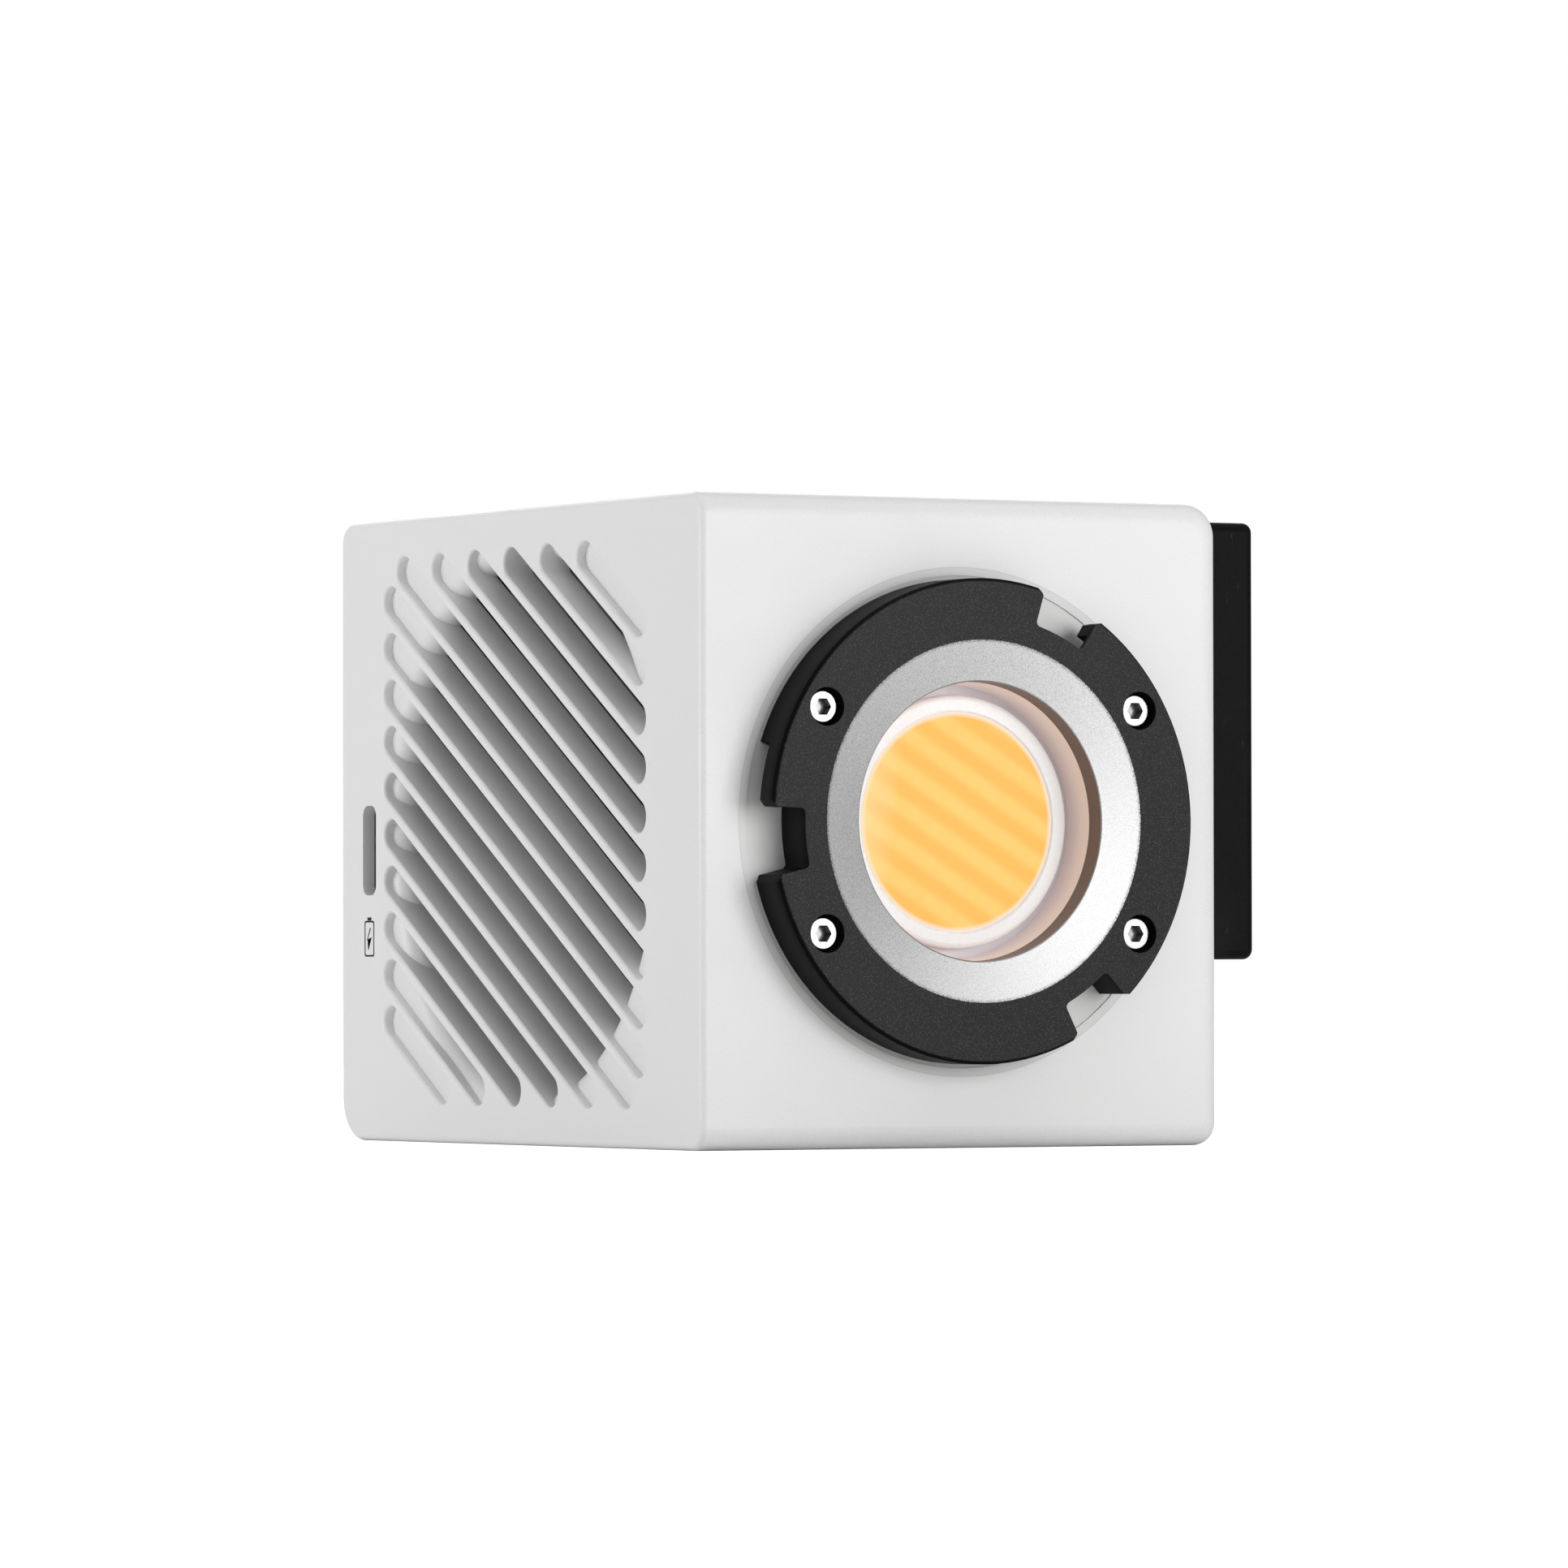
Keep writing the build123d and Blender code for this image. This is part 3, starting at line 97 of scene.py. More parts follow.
class Surface:
    """A Principled material and the nodes that feed it. Lengths are in metres, in the object's own frame."""

    def __init__(self, name, colour, roughness, **sockets):
        self.material = bpy.data.materials.new(name)
        self.material.use_nodes = True
        self.tree = self.material.node_tree
        self.shader = self.tree.nodes["Principled BSDF"]
        self.set("Base Color", (*colour, 1.0))
        self.set("Roughness", roughness)
        for socket, value in sockets.items():
            self.set(socket.replace("_", " "), value)

    def set(self, socket, value):
        self.shader.inputs[socket].default_value = value

    def node(self, kind, **properties):
        made = self.tree.nodes.new("ShaderNode" + kind)
        for key, value in properties.items():
            setattr(made, key, value)
        return made

    def link(self, source, target):
        self.tree.links.new(source, target)

    def place(self, cell, centre=(0, 0, 0), turn=(0, 0, 0), stretch=(1, 1, 1)):
        """Coordinates that count cells of that size from centre, turned by degrees."""
        coords = self.node("TexCoord")
        shifted = self.node("VectorMath", operation="SUBTRACT")
        shifted.inputs[1].default_value = centre
        self.link(coords.outputs["Object"], shifted.inputs[0])
        mapping = self.node("Mapping", vector_type="TEXTURE")
        mapping.inputs["Rotation"].default_value = [math.radians(a) for a in turn]
        mapping.inputs["Scale"].default_value = [cell * s for s in stretch]
        self.link(shifted.outputs[0], mapping.inputs["Vector"])
        return mapping.outputs["Vector"]

    def noise(self, cell, detail=2.0, **placing):
        texture = self.node("TexNoise")
        texture.inputs["Scale"].default_value = 1.0
        texture.inputs["Detail"].default_value = detail
        self.link(self.place(cell, **placing), texture.inputs["Vector"])
        return texture.outputs["Fac"]

    def bands(self, cell):
        """Bands one cell apart along X, from 0 to 1."""
        texture = self.node("TexWave", wave_type="BANDS")
        texture.bands_direction = "X"
        texture.inputs["Scale"].default_value = math.pi / 10
        texture.inputs["Distortion"].default_value = 0.0
        texture.inputs["Detail"].default_value = 0.0
        self.link(self.place(cell), texture.inputs["Vector"])
        return texture.outputs["Fac"]

    def along(self, direction, centre=(0, 0, 0)):
        """How far a point lies from centre in a direction, in metres."""
        dot = self.node("VectorMath", operation="DOT_PRODUCT")
        dot.inputs[1].default_value = direction
        self.link(self.place(1.0, centre=centre), dot.inputs[0])
        return dot.outputs["Value"]

    def radius(self, centre):
        """How far a point lies from the line along Y through centre, in metres."""
        flat = self.node("VectorMath", operation="MULTIPLY")
        flat.inputs[1].default_value = (1, 0, 1)
        self.link(self.place(1.0, centre=centre), flat.inputs[0])
        length = self.node("VectorMath", operation="LENGTH")
        self.link(flat.outputs[0], length.inputs[0])
        return length.outputs["Value"]

    def away(self, distance, mark):
        """How far a distance is from a mark, either way."""
        gap = self.node("Math", operation="SUBTRACT")
        gap.inputs[1].default_value = mark
        self.link(distance, gap.inputs[0])
        size = self.node("Math", operation="ABSOLUTE")
        self.link(gap.outputs[0], size.inputs[0])
        return size.outputs[0]

    def sine(self, distance, pitch):
        """Soft stripes, one pitch apart, from -1 to 1."""
        turns = self.node("Math", operation="MULTIPLY")
        turns.inputs[1].default_value = 2 * math.pi / pitch
        self.link(distance, turns.inputs[0])
        wave = self.node("Math", operation="SINE")
        self.link(turns.outputs[0], wave.inputs[0])
        return wave.outputs[0]

    def borders(self, cell):
        """How far a point lies from the border of its irregular cell, in cells."""
        texture = self.node("TexVoronoi", feature="DISTANCE_TO_EDGE")
        texture.inputs["Scale"].default_value = 1.0
        self.link(self.place(cell), texture.inputs["Vector"])
        return texture.outputs["Distance"]

    def ramp(self, factor, *stops):
        """A colour for each value of factor. Each stop is (value, colour)."""
        node = self.node("ValToRGB")
        elements = node.color_ramp.elements
        while len(elements) < len(stops):
            elements.new(0.5)
        for element, (value, colour) in zip(elements, stops):
            element.position = value
            element.color = (*colour, 1.0)
        self.link(factor, node.inputs["Fac"])
        return node.outputs["Color"]

    def blend(self, factor, below, above):
        """The colour below, covered by the colour above where factor is 1."""
        node = self.node("Mix", data_type="RGBA")
        self.link(factor, node.inputs["Factor"])
        for socket, colour in (("A", below), ("B", above)):
            target = [i for i in node.inputs if i.name == socket and i.type == "RGBA"][0]
            if isinstance(colour, tuple):
                target.default_value = (*colour, 1.0)
            else:
                self.link(colour, target)
        return [o for o in node.outputs if o.type == "RGBA"][0]

    def step(self, value, low, high, out_low=0.0, out_high=1.0):
        node = self.node("MapRange")
        for socket, number in zip(node.inputs[1:5], (low, high, out_low, out_high)):
            socket.default_value = number
        self.link(value, node.inputs[0])
        return node.outputs[0]

    def colour(self, source):
        self.link(source, self.shader.inputs["Base Color"])

    def rough(self, factor, low, high):
        """Roughness from low to high as factor goes from 0.3 to 0.7, where most noise lies."""
        self.link(self.step(factor, 0.3, 0.7, low, high), self.shader.inputs["Roughness"])

    def bump(self, *heights):
        """Each height is (factor, depth in metres), and they add up."""
        normal = None
        for factor, depth in heights:
            node = self.node("Bump")
            node.inputs["Distance"].default_value = depth
            self.link(factor, node.inputs["Height"])
            if normal:
                self.link(normal, node.inputs["Normal"])
            normal = node.outputs["Normal"]
        self.link(normal, self.shader.inputs["Normal"])


def tint(colour, by):
    return tuple(min(1.0, max(0.0, c * by)) for c in colour)


def grained(name, colour, roughness, grain=0.15 * MM, spread=0.06, **sockets):
    """A moulded, cast or coated surface: fine grain, and slow changes in shade and gloss."""
    surface = Surface(name, colour, roughness, **sockets)
    fine = surface.noise(grain, detail=3.0)
    slow = surface.noise(14 * MM, detail=3.0)
    darker = tint(colour, 1 - spread)
    shade = surface.ramp(fine, (0.35, darker), (0.65, tint(colour, 1 + spread)))
    surface.colour(surface.blend(surface.step(slow, 0.35, 0.75, 0.0, 0.5), shade, darker))
    surface.rough(slow, roughness - 0.05, roughness + 0.05)
    surface.bump((fine, 0.004 * MM))
    return surface


# ---------------------------------------------------------------- the head's own materials


def white_casing():
    """Satin white coat with a very fine texture, and painted shade around the bayonet ring."""
    surface = Surface("white_casing", (0.80, 0.80, 0.80), 0.4)
    fine = surface.noise(0.16 * MM, detail=3.0)
    slow = surface.noise(22 * MM, detail=4.0)
    shade = surface.ramp(fine, (0.32, (0.76, 0.76, 0.76)), (0.68, (0.84, 0.84, 0.84)))
    coat = surface.blend(surface.step(slow, 0.3, 0.8, 0.0, 0.35), shade, (0.77, 0.77, 0.765))
    # painted shade of a recess around the bayonet ring, and a painted dark line where that shade ends, on
    # the front face only
    low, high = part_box("bayonet_ring")
    reach = surface.radius((low + high) / 2)
    recess_shade = surface.step(reach, PAINTED_RECESS_R + 0.05 * MM, PAINTED_RECESS_R - 0.05 * MM, 0.0, 1.0)
    line = surface.step(surface.away(reach, PAINTED_RECESS_R), 0.14 * MM, 0.04 * MM, 0.0, 0.3)
    front = surface.step(surface.along((0, 1, 0), centre=high), 0.4 * MM, 0.1 * MM)
    coat_with_recess_shade = surface.blend(line, surface.blend(recess_shade, coat, (0.69, 0.69, 0.685)), (0.4, 0.4, 0.4))
    surface.colour(surface.blend(front, coat, coat_with_recess_shade))
    surface.rough(slow, 0.34, 0.44)
    surface.bump((fine, 0.006 * MM))
    return surface


def black_anodised():
    """Bead-blasted black coat with fine pale specks on the face. The walls behind the face are darker with
    painted shade, darkest next to the face, and reflect less.
    """
    surface = Surface("black_anodised", (0.02, 0.02, 0.021), 0.42, Specular_IOR_Level=0.12)
    low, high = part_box("bayonet_ring")
    fine = surface.noise(0.12 * MM, detail=3.0)
    specks = surface.noise(0.17 * MM, detail=1.0)
    base = surface.ramp(fine, (0.3, (0.009, 0.009, 0.010)), (0.7, (0.028, 0.028, 0.029)))
    face = surface.blend(surface.step(specks, 0.58, 0.7, 0.0, 0.8), base, (0.085, 0.085, 0.088))
    # painted shade: the walls behind the face are painted darker, and their specular level is lowered
    sunk = surface.along((0, 1, 0), centre=low)
    deep = surface.step(sunk, 0.4 * MM, 3.0 * MM)
    painted_wall_shade = surface.ramp(deep, (0.1, (0.004, 0.004, 0.0045)), (0.6, (0.013, 0.013, 0.0135)))
    wall_start = (0.06 * MM, 0.14 * MM)
    surface.colour(surface.blend(surface.step(sunk, *wall_start), face, painted_wall_shade))
    surface.link(surface.step(sunk, *wall_start, 0.12, 0.03), surface.shader.inputs["Specular IOR Level"])
    surface.rough(fine, 0.36, 0.5)
    surface.bump((fine, 0.014 * MM))
    return surface


def blasted_aluminium():
    """The bezel's blasted dish. Its bore, inside the rim, is painted dark warm brown and not metallic, as
    painted shade and a painted warm reflection.
    """
    low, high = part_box("bezel_ring")
    radius_out = (high.x - low.x) / 2
    surface = Surface("blasted_aluminium", (0.80, 0.80, 0.81), 0.4)
    fine = surface.noise(0.12 * MM, detail=3.0)
    reach = surface.radius((low + high) / 2)
    bore = surface.step(reach, BORE_R + 0.02 * MM, BORE_R + 0.06 * MM)
    shade = surface.ramp(fine, (0.3, (0.27, 0.27, 0.275)), (0.7, (0.55, 0.55, 0.555)))
    # painted shade and painted reflection: the bore is painted dark warm brown
    dish = surface.blend(bore, (0.16, 0.108, 0.095), shade)
    surface.link(bore, surface.shader.inputs["Metallic"])
    surface.rough(fine, 0.36, 0.5)
    surface.bump((fine, 0.012 * MM))
    # the coat's ragged border against the black ring
    ragged = surface.noise(0.16 * MM, detail=3.0)
    edge = surface.step(reach, radius_out - 0.45 * MM, radius_out - 0.05 * MM)
    product = surface.node("Math", operation="MULTIPLY")
    surface.link(edge, product.inputs[0])
    surface.link(surface.step(ragged, 0.4, 0.6), product.inputs[1])
    surface.colour(surface.blend(product.outputs[0], dish, (0.05, 0.05, 0.05)))
    return surface


def turned_metal(name, colour, roughness, ring=0.12 * MM):
    """Polished metal with fine tool marks, and painted shade that darkens crevices and sockets."""
    surface = Surface(name, colour, roughness, Metallic=1.0)
    marks = surface.noise(ring, detail=2.0, stretch=(1, 6, 1))
    shade = surface.ramp(marks, (0.3, tint(colour, 0.9)), (0.7, tint(colour, 1.06)))
    # painted shade: darker where ambient occlusion finds crevices, such as screw sockets
    crevice_shade = surface.node("AmbientOcclusion")
    crevice_shade.inputs["Distance"].default_value = 1.6 * MM
    open_air = surface.step(crevice_shade.outputs["AO"], 0.35, 0.85)
    surface.colour(surface.blend(open_air, tint(colour, 0.3), shade))
    surface.rough(marks, roughness * 0.75, roughness * 1.3)
    surface.bump((marks, 0.0012 * MM))
    return surface


def phosphor():
    """Yellow silicone over slanted rows of chips, shown mostly by a painted glow: soft stripes, pale at the
    rim and towards the left.
    """
    low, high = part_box("cob_phosphor")
    centre = (low + high) / 2
    radius = (high.x - low.x) / 2
    surface = Surface("phosphor", (1.0, 0.6, 0.14), 0.32, Specular_IOR_Level=0.15)
    slant = math.radians(CHIP_ROW_SLANT)
    across = Vector((math.sin(slant), 0, math.cos(slant)))
    rows = surface.sine(surface.along(across, centre=centre + across * CHIP_ROW_SHIFT), CHIP_ROW_PITCH)
    along_row = (math.cos(slant), 0, -math.sin(slant))
    chips = surface.sine(surface.along(along_row, centre=centre), CHIP_PITCH)
    slow = surface.noise(2.4 * MM, detail=2.0)
    light_row, dark_row, rim = (1.0, 0.64, 0.175), (1.0, 0.53, 0.105), (1.0, 0.84, 0.74)
    stripes = surface.ramp(surface.step(rows, -0.9, 0.9), (0.1, dark_row), (0.9, light_row))
    stripes = surface.blend(surface.step(chips, -0.5, 1.0, 0.0, 0.08), stripes, dark_row)
    stripes = surface.blend(surface.step(slow, 0.4, 0.8, 0.0, 0.3), stripes, (1.0, 0.6, 0.14))
    reach = surface.radius(centre)
    glow = surface.blend(surface.step(reach, radius - 0.75 * MM, radius - 0.05 * MM), stripes, rim)
    side = surface.along((-1, 0, 0.1), centre=centre)
    glow = surface.blend(surface.step(side, radius * 0.62, radius, 0.0, 0.55), glow, (1.0, 0.80, 0.42))
    # the colour is mostly a painted glow, not light of the chips; unlit, the silicone shows only about a
    # fifth of that colour
    surface.colour(surface.blend(surface.step(reach, 0.0, radius, 0.78, 0.8), glow, (0.0, 0.0, 0.0)))
    surface.rough(slow, 0.28, 0.4)
    surface.bump((surface.noise(0.8 * MM), 0.006 * MM))
    surface.link(glow, surface.shader.inputs["Emission Color"])
    surface.set("Emission Strength", PAINTED_CHIP_GLOW)
    return surface


def circuit_board():
    """Solder mask with copper runs showing through."""
    surface = Surface("green_board", (0.03, 0.16, 0.07), 0.35, Coat_Weight=0.4, Coat_Roughness=0.15)
    runs = surface.step(surface.borders(2.6 * MM), 0.05, 0.08)
    fine = surface.noise(0.4 * MM)
    mask = surface.ramp(fine, (0.3, (0.02, 0.13, 0.05)), (0.7, (0.035, 0.19, 0.085)))
    surface.colour(surface.blend(runs, mask, (0.012, 0.085, 0.035)))
    surface.bump((runs, 0.02 * MM))
    return surface


def copper_winding():
    """Enamelled wire, turn beside turn."""
    surface = Surface("copper_winding", (0.62, 0.28, 0.12), 0.28, Metallic=1.0)
    turns = surface.bands(0.35 * MM)
    surface.colour(surface.ramp(turns, (0.0, (0.22, 0.08, 0.03)), (0.6, (0.68, 0.32, 0.14))))
    surface.bump((turns, 0.1 * MM))
    return surface


def black_dock():
    """Satin black moulding with handling marks."""
    surface = Surface("black_dock", (0.02, 0.02, 0.021), 0.4, Specular_IOR_Level=0.05)
    fine = surface.noise(0.2 * MM, detail=3.0)
    smudge = surface.noise(9 * MM, detail=5.0, stretch=(1, 1, 2.2))
    scratch = surface.noise(1.2 * MM, detail=2.0, turn=(20, 0, 0), stretch=(1, 1, 14))
    base = surface.ramp(fine, (0.3, (0.004, 0.004, 0.0045)), (0.7, (0.008, 0.008, 0.0085)))
    worn = surface.blend(surface.step(smudge, 0.52, 0.75, 0.0, 0.6), base, (0.014, 0.014, 0.0145))
    surface.colour(surface.blend(surface.step(scratch, 0.68, 0.74, 0.0, 0.4), worn, (0.045, 0.045, 0.046)))
    surface.rough(smudge, 0.32, 0.5)
    surface.bump((fine, 0.005 * MM))
    return surface


def display_glow():
    """Lit figures of the display."""
    surface = Surface("display_glow", (0.6, 0.75, 0.8), 0.4)
    slow = surface.noise(6 * MM, detail=1.0)
    lit = surface.ramp(slow, (0.3, (0.50, 0.86, 1.0)), (0.7, (0.62, 0.92, 1.0)))
    surface.colour(lit)
    surface.link(lit, surface.shader.inputs["Emission Color"])
    surface.set("Emission Strength", READOUT_GLOW)
    return surface


def display_glass():
    """Clear window with faint changes in gloss."""
    surface = Surface("display_glass", (0.42, 0.43, 0.44), 0.03, Transmission_Weight=1.0, IOR=1.5)
    slow = surface.noise(12 * MM, detail=4.0)
    surface.rough(slow, 0.02, 0.07)
    return surface


MATERIALS = {
    "white_casing": white_casing,
    "black_anodised": black_anodised,
    "blasted_aluminium": blasted_aluminium,
    "steel_screw": lambda: turned_metal("steel_screw", (0.40, 0.40, 0.41), 0.24),
    "black_screw": lambda: grained("black_screw", (0.03, 0.03, 0.032), 0.35, Metallic=0.6),
    # the faint emission is a painted glow on the wall of the well, which is no lamp
    "warm_white_plastic": lambda: grained("warm_white_plastic", (0.92, 0.80, 0.75), 0.4, spread=0.03,
                                         Emission_Color=(1.0, 0.73, 0.64, 1.0), Emission_Strength=0.08),
    "white_ceramic": lambda: grained("white_ceramic", (0.70, 0.67, 0.72), 0.3, spread=0.03),
    "white_silicone": lambda: grained("white_silicone", (0.93, 0.93, 0.93), 0.35, grain=0.6 * MM,
                                      spread=0.02),
    "phosphor": phosphor,
    "grey_pad": lambda: grained("grey_pad", (0.35, 0.35, 0.37), 0.8, grain=0.3 * MM),
    "heatsink_aluminium": lambda: turned_metal("heatsink_aluminium", (0.62, 0.63, 0.64), 0.38,
                                               ring=0.4 * MM),
    "brass_post": lambda: turned_metal("brass_post", (0.74, 0.55, 0.26), 0.26),
    "black_plastic": lambda: grained("black_plastic", (0.03, 0.03, 0.032), 0.45),
    "copper_winding": copper_winding,
    "magnet_grey": lambda: grained("magnet_grey", (0.12, 0.12, 0.125), 0.6, grain=0.3 * MM, spread=0.15),
    "green_board": circuit_board,
    "capacitor_sleeve": lambda: grained("capacitor_sleeve", (0.03, 0.03, 0.045), 0.25),
    "display_glass": display_glass,
    "smoked_window": lambda: grained("smoked_window", (0.03, 0.03, 0.032), 0.5, spread=0.04,
                                     Specular_IOR_Level=0.1),
    "port_steel": lambda: turned_metal("port_steel", (0.62, 0.62, 0.62), 0.3),
    "dark_button": lambda: grained("dark_button", (0.09, 0.09, 0.092), 0.42),
    "dial_grey": lambda: grained("dial_grey", (0.07, 0.07, 0.073), 0.38, spread=0.1),
    "black_dock": black_dock,
    "gold_contact": lambda: turned_metal("gold_contact", (0.88, 0.66, 0.3), 0.18),
    "red_tab": lambda: grained("red_tab", (0.5, 0.035, 0.02), 0.38, grain=0.25 * MM, spread=0.08),
    "lead_insulation": lambda: grained("lead_insulation", (0.04, 0.04, 0.042), 0.45),
}


def dress_cad_nodes():
    """Gives every CAD node the material of its slot in the record."""
    slots = {part["node"]: part["material_slot"] for part in frame["record"]["subparts"]}
    finished = {slot: make().material for slot, make in MATERIALS.items()}
    for node, piece in frame["nodes"].items():
        for index in range(len(piece.material_slots)):
            piece.material_slots[index].material = finished[slots[node]]
    return finished


# ---------------------------------------------------------------- printed signs


def printed(name, outlines, thickness, middle, facing, body, material):
    """A flat sign made of closed outlines in millimetres, right and up as its reader sees it. An outline
    inside another is a hole. It stands on the plane through middle that faces the direction given."""
    curve = bpy.data.curves.new(name, "CURVE")
    curve.dimensions = "2D"
    curve.fill_mode = "BOTH"
    curve.extrude = thickness / 2
    for points in outlines:
        spline = curve.splines.new("POLY")
        spline.points.add(len(points) - 1)
        for point, (right, up) in zip(spline.points, points):
            point.co = (right * MM, up * MM, 0, 1)
        spline.use_cyclic_u = True
    holder = bpy.data.objects.new(name + "_curve", curve)
    bpy.context.scene.collection.objects.link(holder)
    mesh = bpy.data.meshes.new_from_object(holder)
    bpy.data.objects.remove(holder)
    facing = Vector(facing)
    right = Vector((0, 0, 1)).cross(facing)
    turn = Matrix((right, facing.cross(right), facing)).transposed().to_4x4()
    mesh.transform(Matrix.Translation(Vector(middle) + facing * thickness / 2) @ turn)
    sign = bpy.data.objects.new(name, mesh)
    sign.data.materials.append(material)
    bpy.context.scene.collection.objects.link(sign)
    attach(sign, body)
    return sign


def rounded(width, height, radius, middle=(0, 0), steps=5):
    """Outline of a rectangle with round corners."""
    points = []
    corners = ((1, 1), (-1, 1), (-1, -1), (1, -1))
    for index, (across, up) in enumerate(corners):
        for step in range(steps + 1):
            angle = math.pi / 2 * (index + step / steps)
            points.append(
                (
                    middle[0] + across * (width / 2 - radius) + radius * math.cos(angle),
                    middle[1] + up * (height / 2 - radius) + radius * math.sin(angle),
                )
            )
    return points


def stroke(points, width):
    """Outline of a thin line through the points, drawn as one closed shape."""
    left, right = [], []
    for index, point in enumerate(points):
        before = Vector(points[max(index - 1, 0)])
        after = Vector(points[min(index + 1, len(points) - 1)])
        way = (after - before).normalized()
        side = Vector((-way.y, way.x)) * width / 2
        left.append(tuple(Vector(point) + side))
        right.append(tuple(Vector(point) - side))
    return left + right[::-1]


def arc(radius, start, end, width, middle=(0, 0), steps=24):
    """Outline of a thin arc from one angle to another, in degrees."""
    angles = [math.radians(start + (end - start) * step / steps) for step in range(steps + 1)]
    centre_line = [(middle[0] + radius * math.cos(a), middle[1] + radius * math.sin(a)) for a in angles]
    return stroke(centre_line, width)


# Ends of each segment, in half heights of the figure.
SEGMENTS = {
    "a": ((0, 2), (1, 2)), "b": ((1, 1), (1, 2)), "c": ((1, 0), (1, 1)), "d": ((0, 0), (1, 0)),
    "e": ((0, 0), (0, 1)), "f": ((0, 1), (0, 2)), "g": ((0, 1), (1, 1)),
}
DIGITS = {
    "0": "abcdef", "1": "bc", "2": "abged", "3": "abgcd", "4": "fgbc",
    "5": "afgcd", "6": "afgedc", "7": "abc", "8": "abcdefg", "9": "abcdfg",
}


def number(digits, at, height, width):
    """A number in seven-segment figures, as thin outlines. At is its lower left corner."""
    outlines = []
    half = height / 2
    for place, digit in enumerate(digits):
        left = at[0] + place * half * 1.55
        for name in DIGITS[digit]:
            (x0, y0), (x1, y1) = SEGMENTS[name]
            start = Vector((left + x0 * half, at[1] + y0 * half))
            end = Vector((left + x1 * half, at[1] + y1 * half))
            trim = (end - start).normalized() * width * 0.62
            outlines.append(stroke([tuple(start + trim), tuple(end - trim)], width))
    return outlines


def battery_sign(finished):
    """Battery with a lightning bolt, printed below the charge indicator."""
    line, width, height, radius = 0.24, 3.0, 5.1, 0.4
    window_low, window_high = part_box("charge_indicator")
    middle = Vector((cad_low.x, (window_low.y + window_high.y) / 2, window_low.z - 6.2 * MM))
    outlines = [
        rounded(width, height, radius),
        rounded(width - 2 * line, height - 2 * line, radius - line / 2),
        stroke([(0.3, 1.5), (-0.65, -0.2), (0.6, 0.2), (-0.35, -1.5)], line),
        rounded(1.2, 0.45, 0.1, middle=(0, height / 2 + 0.25)),
    ]
    printed("battery_sign", outlines, SIGN_T, middle, (-1, 0, 0), "light_head",
            finished["smoked_window"])


def middle_of(low, high):
    """Middle of the rear end of a box."""
    return Vector(((low.x + high.x) / 2, high.y, (low.z + high.z) / 2))


def rear_signs(finished):
    """Power symbol, dial scales and charging arrow on the rear."""
    rear_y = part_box("rear_cover")[1].y
    grey = finished["smoked_window"]

    power = [arc(2.2, 125, 415, 0.42), stroke([(0, 0.9), (0, 3.0)], 0.42)]
    middle = middle_of(*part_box("power_button"))
    printed("power_sign", power, SIGN_T, middle, (0, 1, 0), "power",
            finished["white_silicone"])

    for dial in ("brightness", "colour"):
        middle = middle_of(*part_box(f"{dial}_dial"))
        middle.y = rear_y
        scale = []
        for step in range(11):
            angle = math.radians(225 - 27 * step)
            inner, outer = 11.8, 13.4 if step % 5 == 0 else 12.8
            ends = [(r * math.cos(angle), r * math.sin(angle)) for r in (inner, outer)]
            scale.append(stroke(ends, 0.3))
        printed(f"{dial}_scale", scale, SIGN_T, middle, (0, 1, 0), "light_head", grey)

    low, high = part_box("usb_c_port")
    middle = Vector(((low.x + high.x) / 2, rear_y, low.z - 3.6 * MM))
    bolt = [(0.4, 1.5), (-0.9, -0.3), (-0.05, -0.3), (-0.4, -1.5), (0.9, 0.3), (0.05, 0.3)]
    printed("charge_sign", [bolt], SIGN_T, middle, (0, 1, 0), "light_head", grey)


def display_readout():
    """Lit frame, battery, brightness in percent with its bars, and colour temperature, behind the window."""
    frame_line = [rounded(46.5, 22.0, 1.6), rounded(46.1, 21.6, 1.4)]
    battery = [
        rounded(5.2, 2.5, 0.4, middle=(18.6, 8.2)),
        rounded(4.6, 1.9, 0.2, middle=(18.6, 8.2)),
        rounded(3.0, 1.3, 0.1, middle=(18.1, 8.2)),
        rounded(0.4, 1.0, 0.1, middle=(21.5, 8.2)),
    ]
    divider = [stroke([(1.5, 7.4), (1.5, -9.2)], 0.15)]
    percent_sign = [
        arc(0.75, 0, 355, 0.3, middle=(-3.2, 4.2)),
        arc(0.75, 0, 355, 0.3, middle=(-1.2, -3.2)),
        stroke([(-3.6, -3.4), (-0.8, 4.4)], 0.3),
    ]
    percent = number("75", (-20.5, -4.0), 9.0, 1.0) + percent_sign
    kelvin = number("5600", (4.6, -2.9), 5.2, 0.6)
    bars = []
    for step in range(9):
        middle = (-21.5 + 1.7 * step, -9.4 + 0.225 * step)
        bars.append(rounded(1.1, 1.2 + 0.45 * step, 0.2, middle=middle))
    outlines = frame_line + battery + divider + percent + kelvin + bars
    middle = middle_of(*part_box("display_module"))
    printed("display_readout", outlines, READOUT_T, middle, (0, 1, 0), "light_head",
            display_glow().material)


# ---------------------------------------------------------------- floor, light, camera


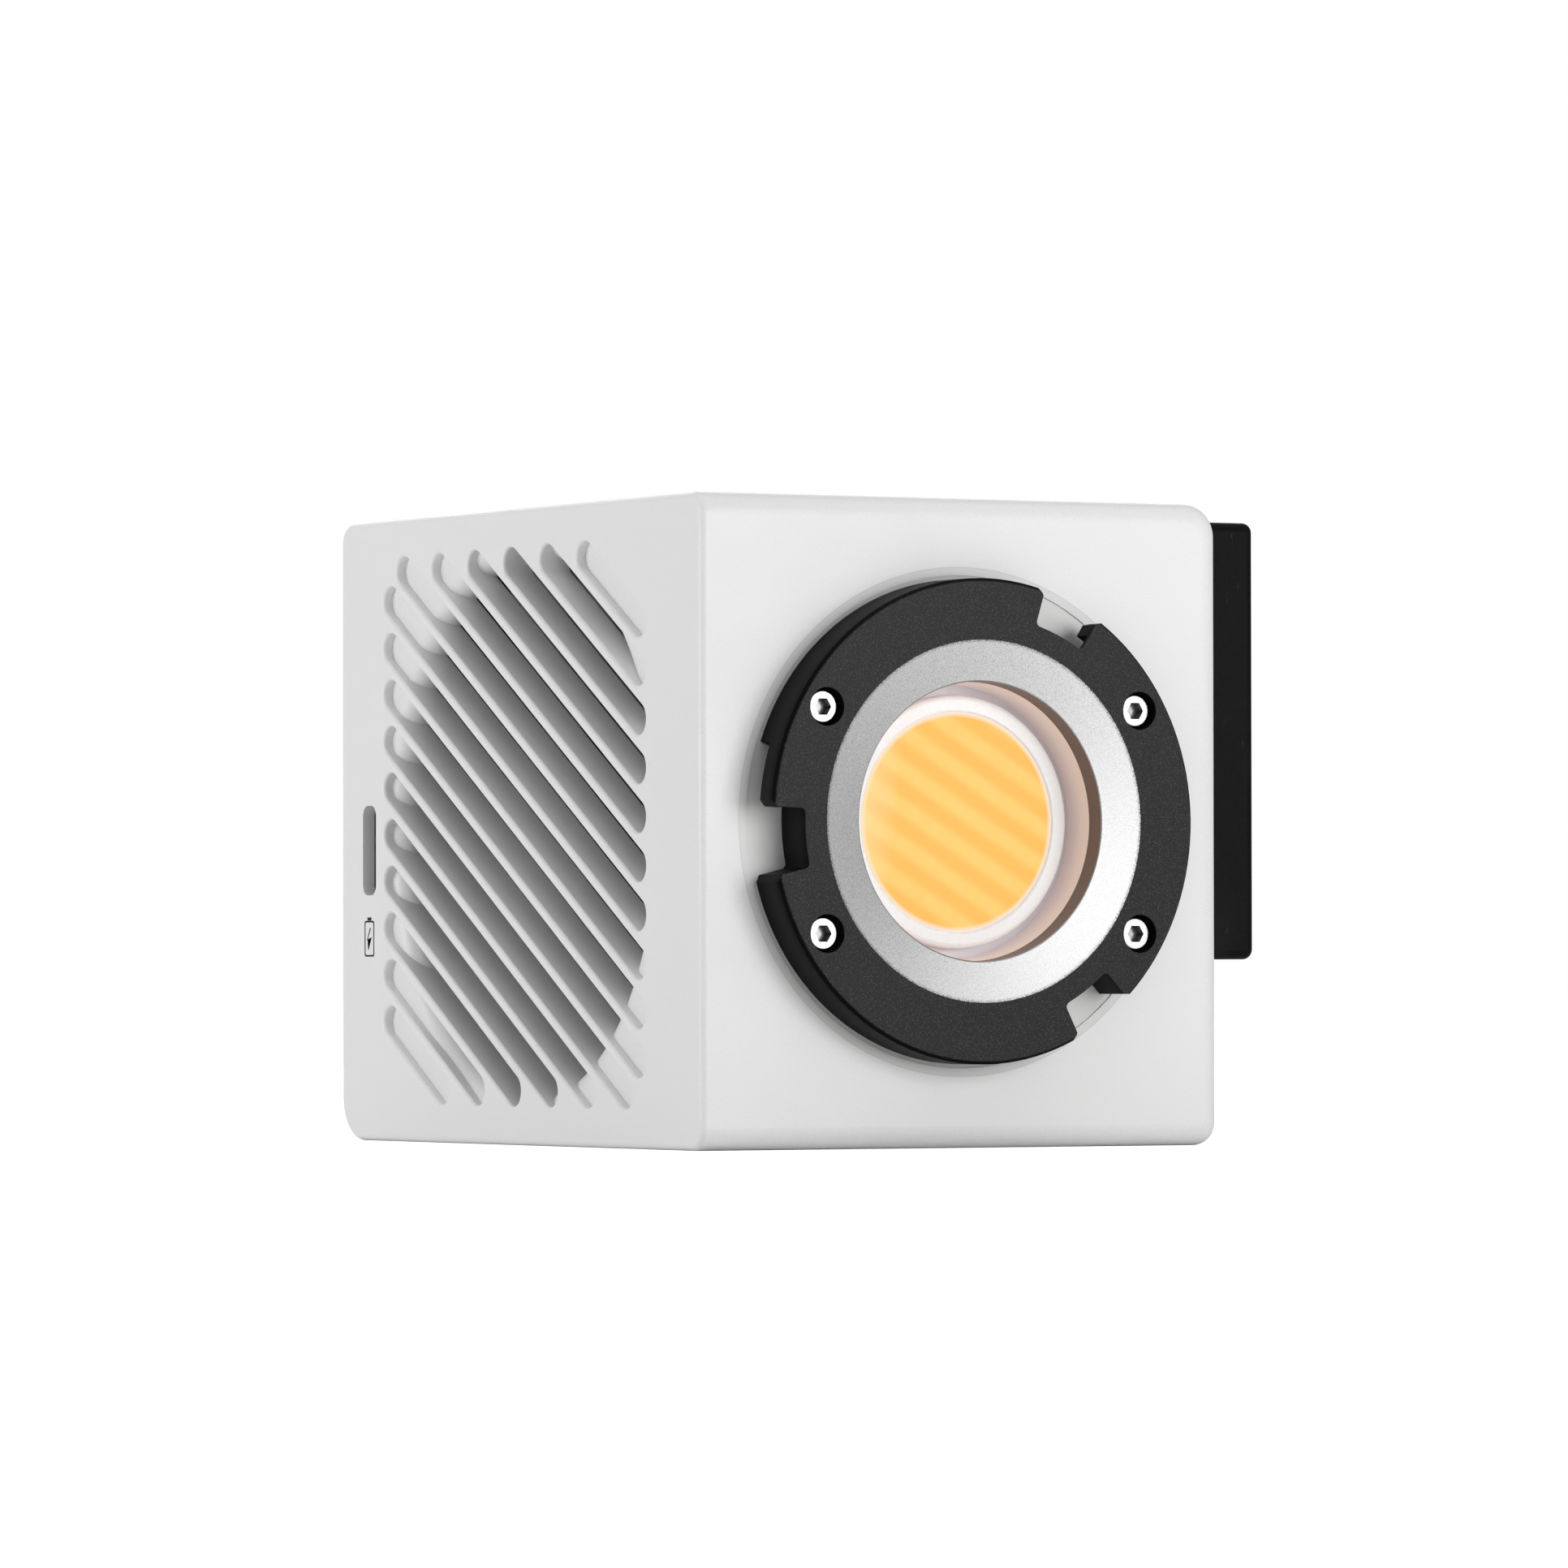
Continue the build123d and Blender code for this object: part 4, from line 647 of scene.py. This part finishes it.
def floor():
    """A plain white floor. It throws less light back at the object than it shows to the camera."""
    surface = Surface("floor", (0.9, 0.9, 0.9), 0.7, Specular_IOR_Level=0.1)
    slow = surface.noise(300 * MM, detail=3.0)
    surface.colour(surface.ramp(slow, (0.3, (0.95, 0.95, 0.95)), (0.7, (0.97, 0.97, 0.97))))
    dull = surface.node("BsdfDiffuse")
    dull.inputs["Color"].default_value = (FLOOR_BOUNCE, FLOOR_BOUNCE, FLOOR_BOUNCE, 1.0)
    mix = surface.node("MixShader")
    path = surface.node("LightPath")
    surface.link(path.outputs["Is Camera Ray"], mix.inputs[0])
    surface.link(dull.outputs[0], mix.inputs[1])
    surface.link(surface.shader.outputs[0], mix.inputs[2])
    surface.link(mix.outputs[0], surface.tree.nodes["Material Output"].inputs["Surface"])
    surface.set("Emission Color", (1.0, 1.0, 1.0, 1.0))
    surface.set("Emission Strength", FLOOR_GLOW)
    half = FLOOR_SIZE / 2
    mesh = bpy.data.meshes.new("floor")
    corners = [(-half, -half, 0), (half, -half, 0), (half, half, 0), (-half, half, 0)]
    mesh.from_pydata(corners, [], [(0, 1, 2, 3)])
    mesh.materials.append(surface.material)
    plane = bpy.data.objects.new("floor", mesh)
    bpy.context.scene.collection.objects.link(plane)


def softbox(name, azimuth, elevation, distance, size, power):
    """A soft lamp that shines at AIM. Azimuth 0 is in front of the light head, and it grows towards +X."""
    turn, rise = math.radians(azimuth), math.radians(elevation)
    way = Vector((math.sin(turn) * math.cos(rise), -math.cos(turn) * math.cos(rise), math.sin(rise)))
    lamp = bpy.data.lights.new(name, "AREA")
    lamp.shape = "RECTANGLE"
    lamp.size, lamp.size_y = size
    lamp.energy = power
    holder = bpy.data.objects.new(name, lamp)
    holder.location = AIM + way * distance
    holder.rotation_euler = (-way).to_track_quat("-Z", "Y").to_euler()
    bpy.context.scene.collection.objects.link(holder)


def light():
    """White behind everything, softer light from the room, a wide sun from above and three soft lamps."""
    world = bpy.data.worlds.new("studio")
    bpy.context.scene.world = world
    world.use_nodes = True
    nodes, links = world.node_tree.nodes, world.node_tree.links
    # the room is darker on the object's right
    coords = nodes.new("ShaderNodeTexCoord")
    dot = nodes.new("ShaderNodeVectorMath")
    dot.operation = "DOT_PRODUCT"
    dark_side = math.radians(DARK_SIDE)
    dot.inputs[1].default_value = (math.sin(dark_side), -math.cos(dark_side), 0)
    links.new(coords.outputs["Generated"], dot.inputs[0])
    fade = nodes.new("ShaderNodeMapRange")
    for socket, value in zip(fade.inputs[1:5], (0.35, 0.9, AMBIENT, AMBIENT * DARK_SHARE)):
        socket.default_value = value
    links.new(dot.outputs["Value"], fade.inputs[0])
    lit = nodes["Background"]
    lit.inputs["Color"].default_value = (1.0, 1.0, 1.0, 1.0)
    links.new(fade.outputs[0], lit.inputs["Strength"])
    seen = nodes.new("ShaderNodeBackground")
    seen.inputs["Color"].default_value = (1.0, 1.0, 1.0, 1.0)
    mix = nodes.new("ShaderNodeMixShader")
    path = nodes.new("ShaderNodeLightPath")
    links.new(path.outputs["Is Camera Ray"], mix.inputs[0])
    links.new(lit.outputs[0], mix.inputs[1])
    links.new(seen.outputs[0], mix.inputs[2])
    links.new(mix.outputs[0], nodes["World Output"].inputs["Surface"])

    sun = bpy.data.lights.new("overhead", "SUN")
    sun.energy = SUN_POWER
    sun.angle = math.radians(SUN_SPREAD)
    overhead = bpy.data.objects.new("overhead", sun)
    bpy.context.scene.collection.objects.link(overhead)

    softbox("front", 18, 4, 0.42, (0.25, 0.27), 0.95)
    softbox("left", -108, -2, 0.8, (0.42, 0.5), 4.1)
    softbox("rear", 160, 22, 1.1, (0.8, 0.6), 3.0)


def camera():
    """Creates the camera of the main view."""
    roll = Matrix.Rotation(-LOOK_ROLL, 3, "Z")
    turn = Euler((math.pi / 2 + LOOK_UP, 0, -LOOK_AZIMUTH)).to_matrix() @ roll
    data = bpy.data.cameras.new("camera")
    data.lens = LENS
    data.sensor_width = SENSOR
    data.clip_start = 0.01
    data.clip_end = 50
    holder = bpy.data.objects.new("camera", data)
    holder.matrix_world = Matrix.Translation(AIM + turn @ Vector((0, 0, DISTANCE))) @ turn.to_4x4()
    bpy.context.scene.collection.objects.link(holder)
    bpy.context.scene.camera = holder


finished = dress_cad_nodes()
battery_sign(finished)
rear_signs(finished)
display_readout()
floor()
light()
camera()
bpy.context.scene.view_settings.view_transform = "Standard"
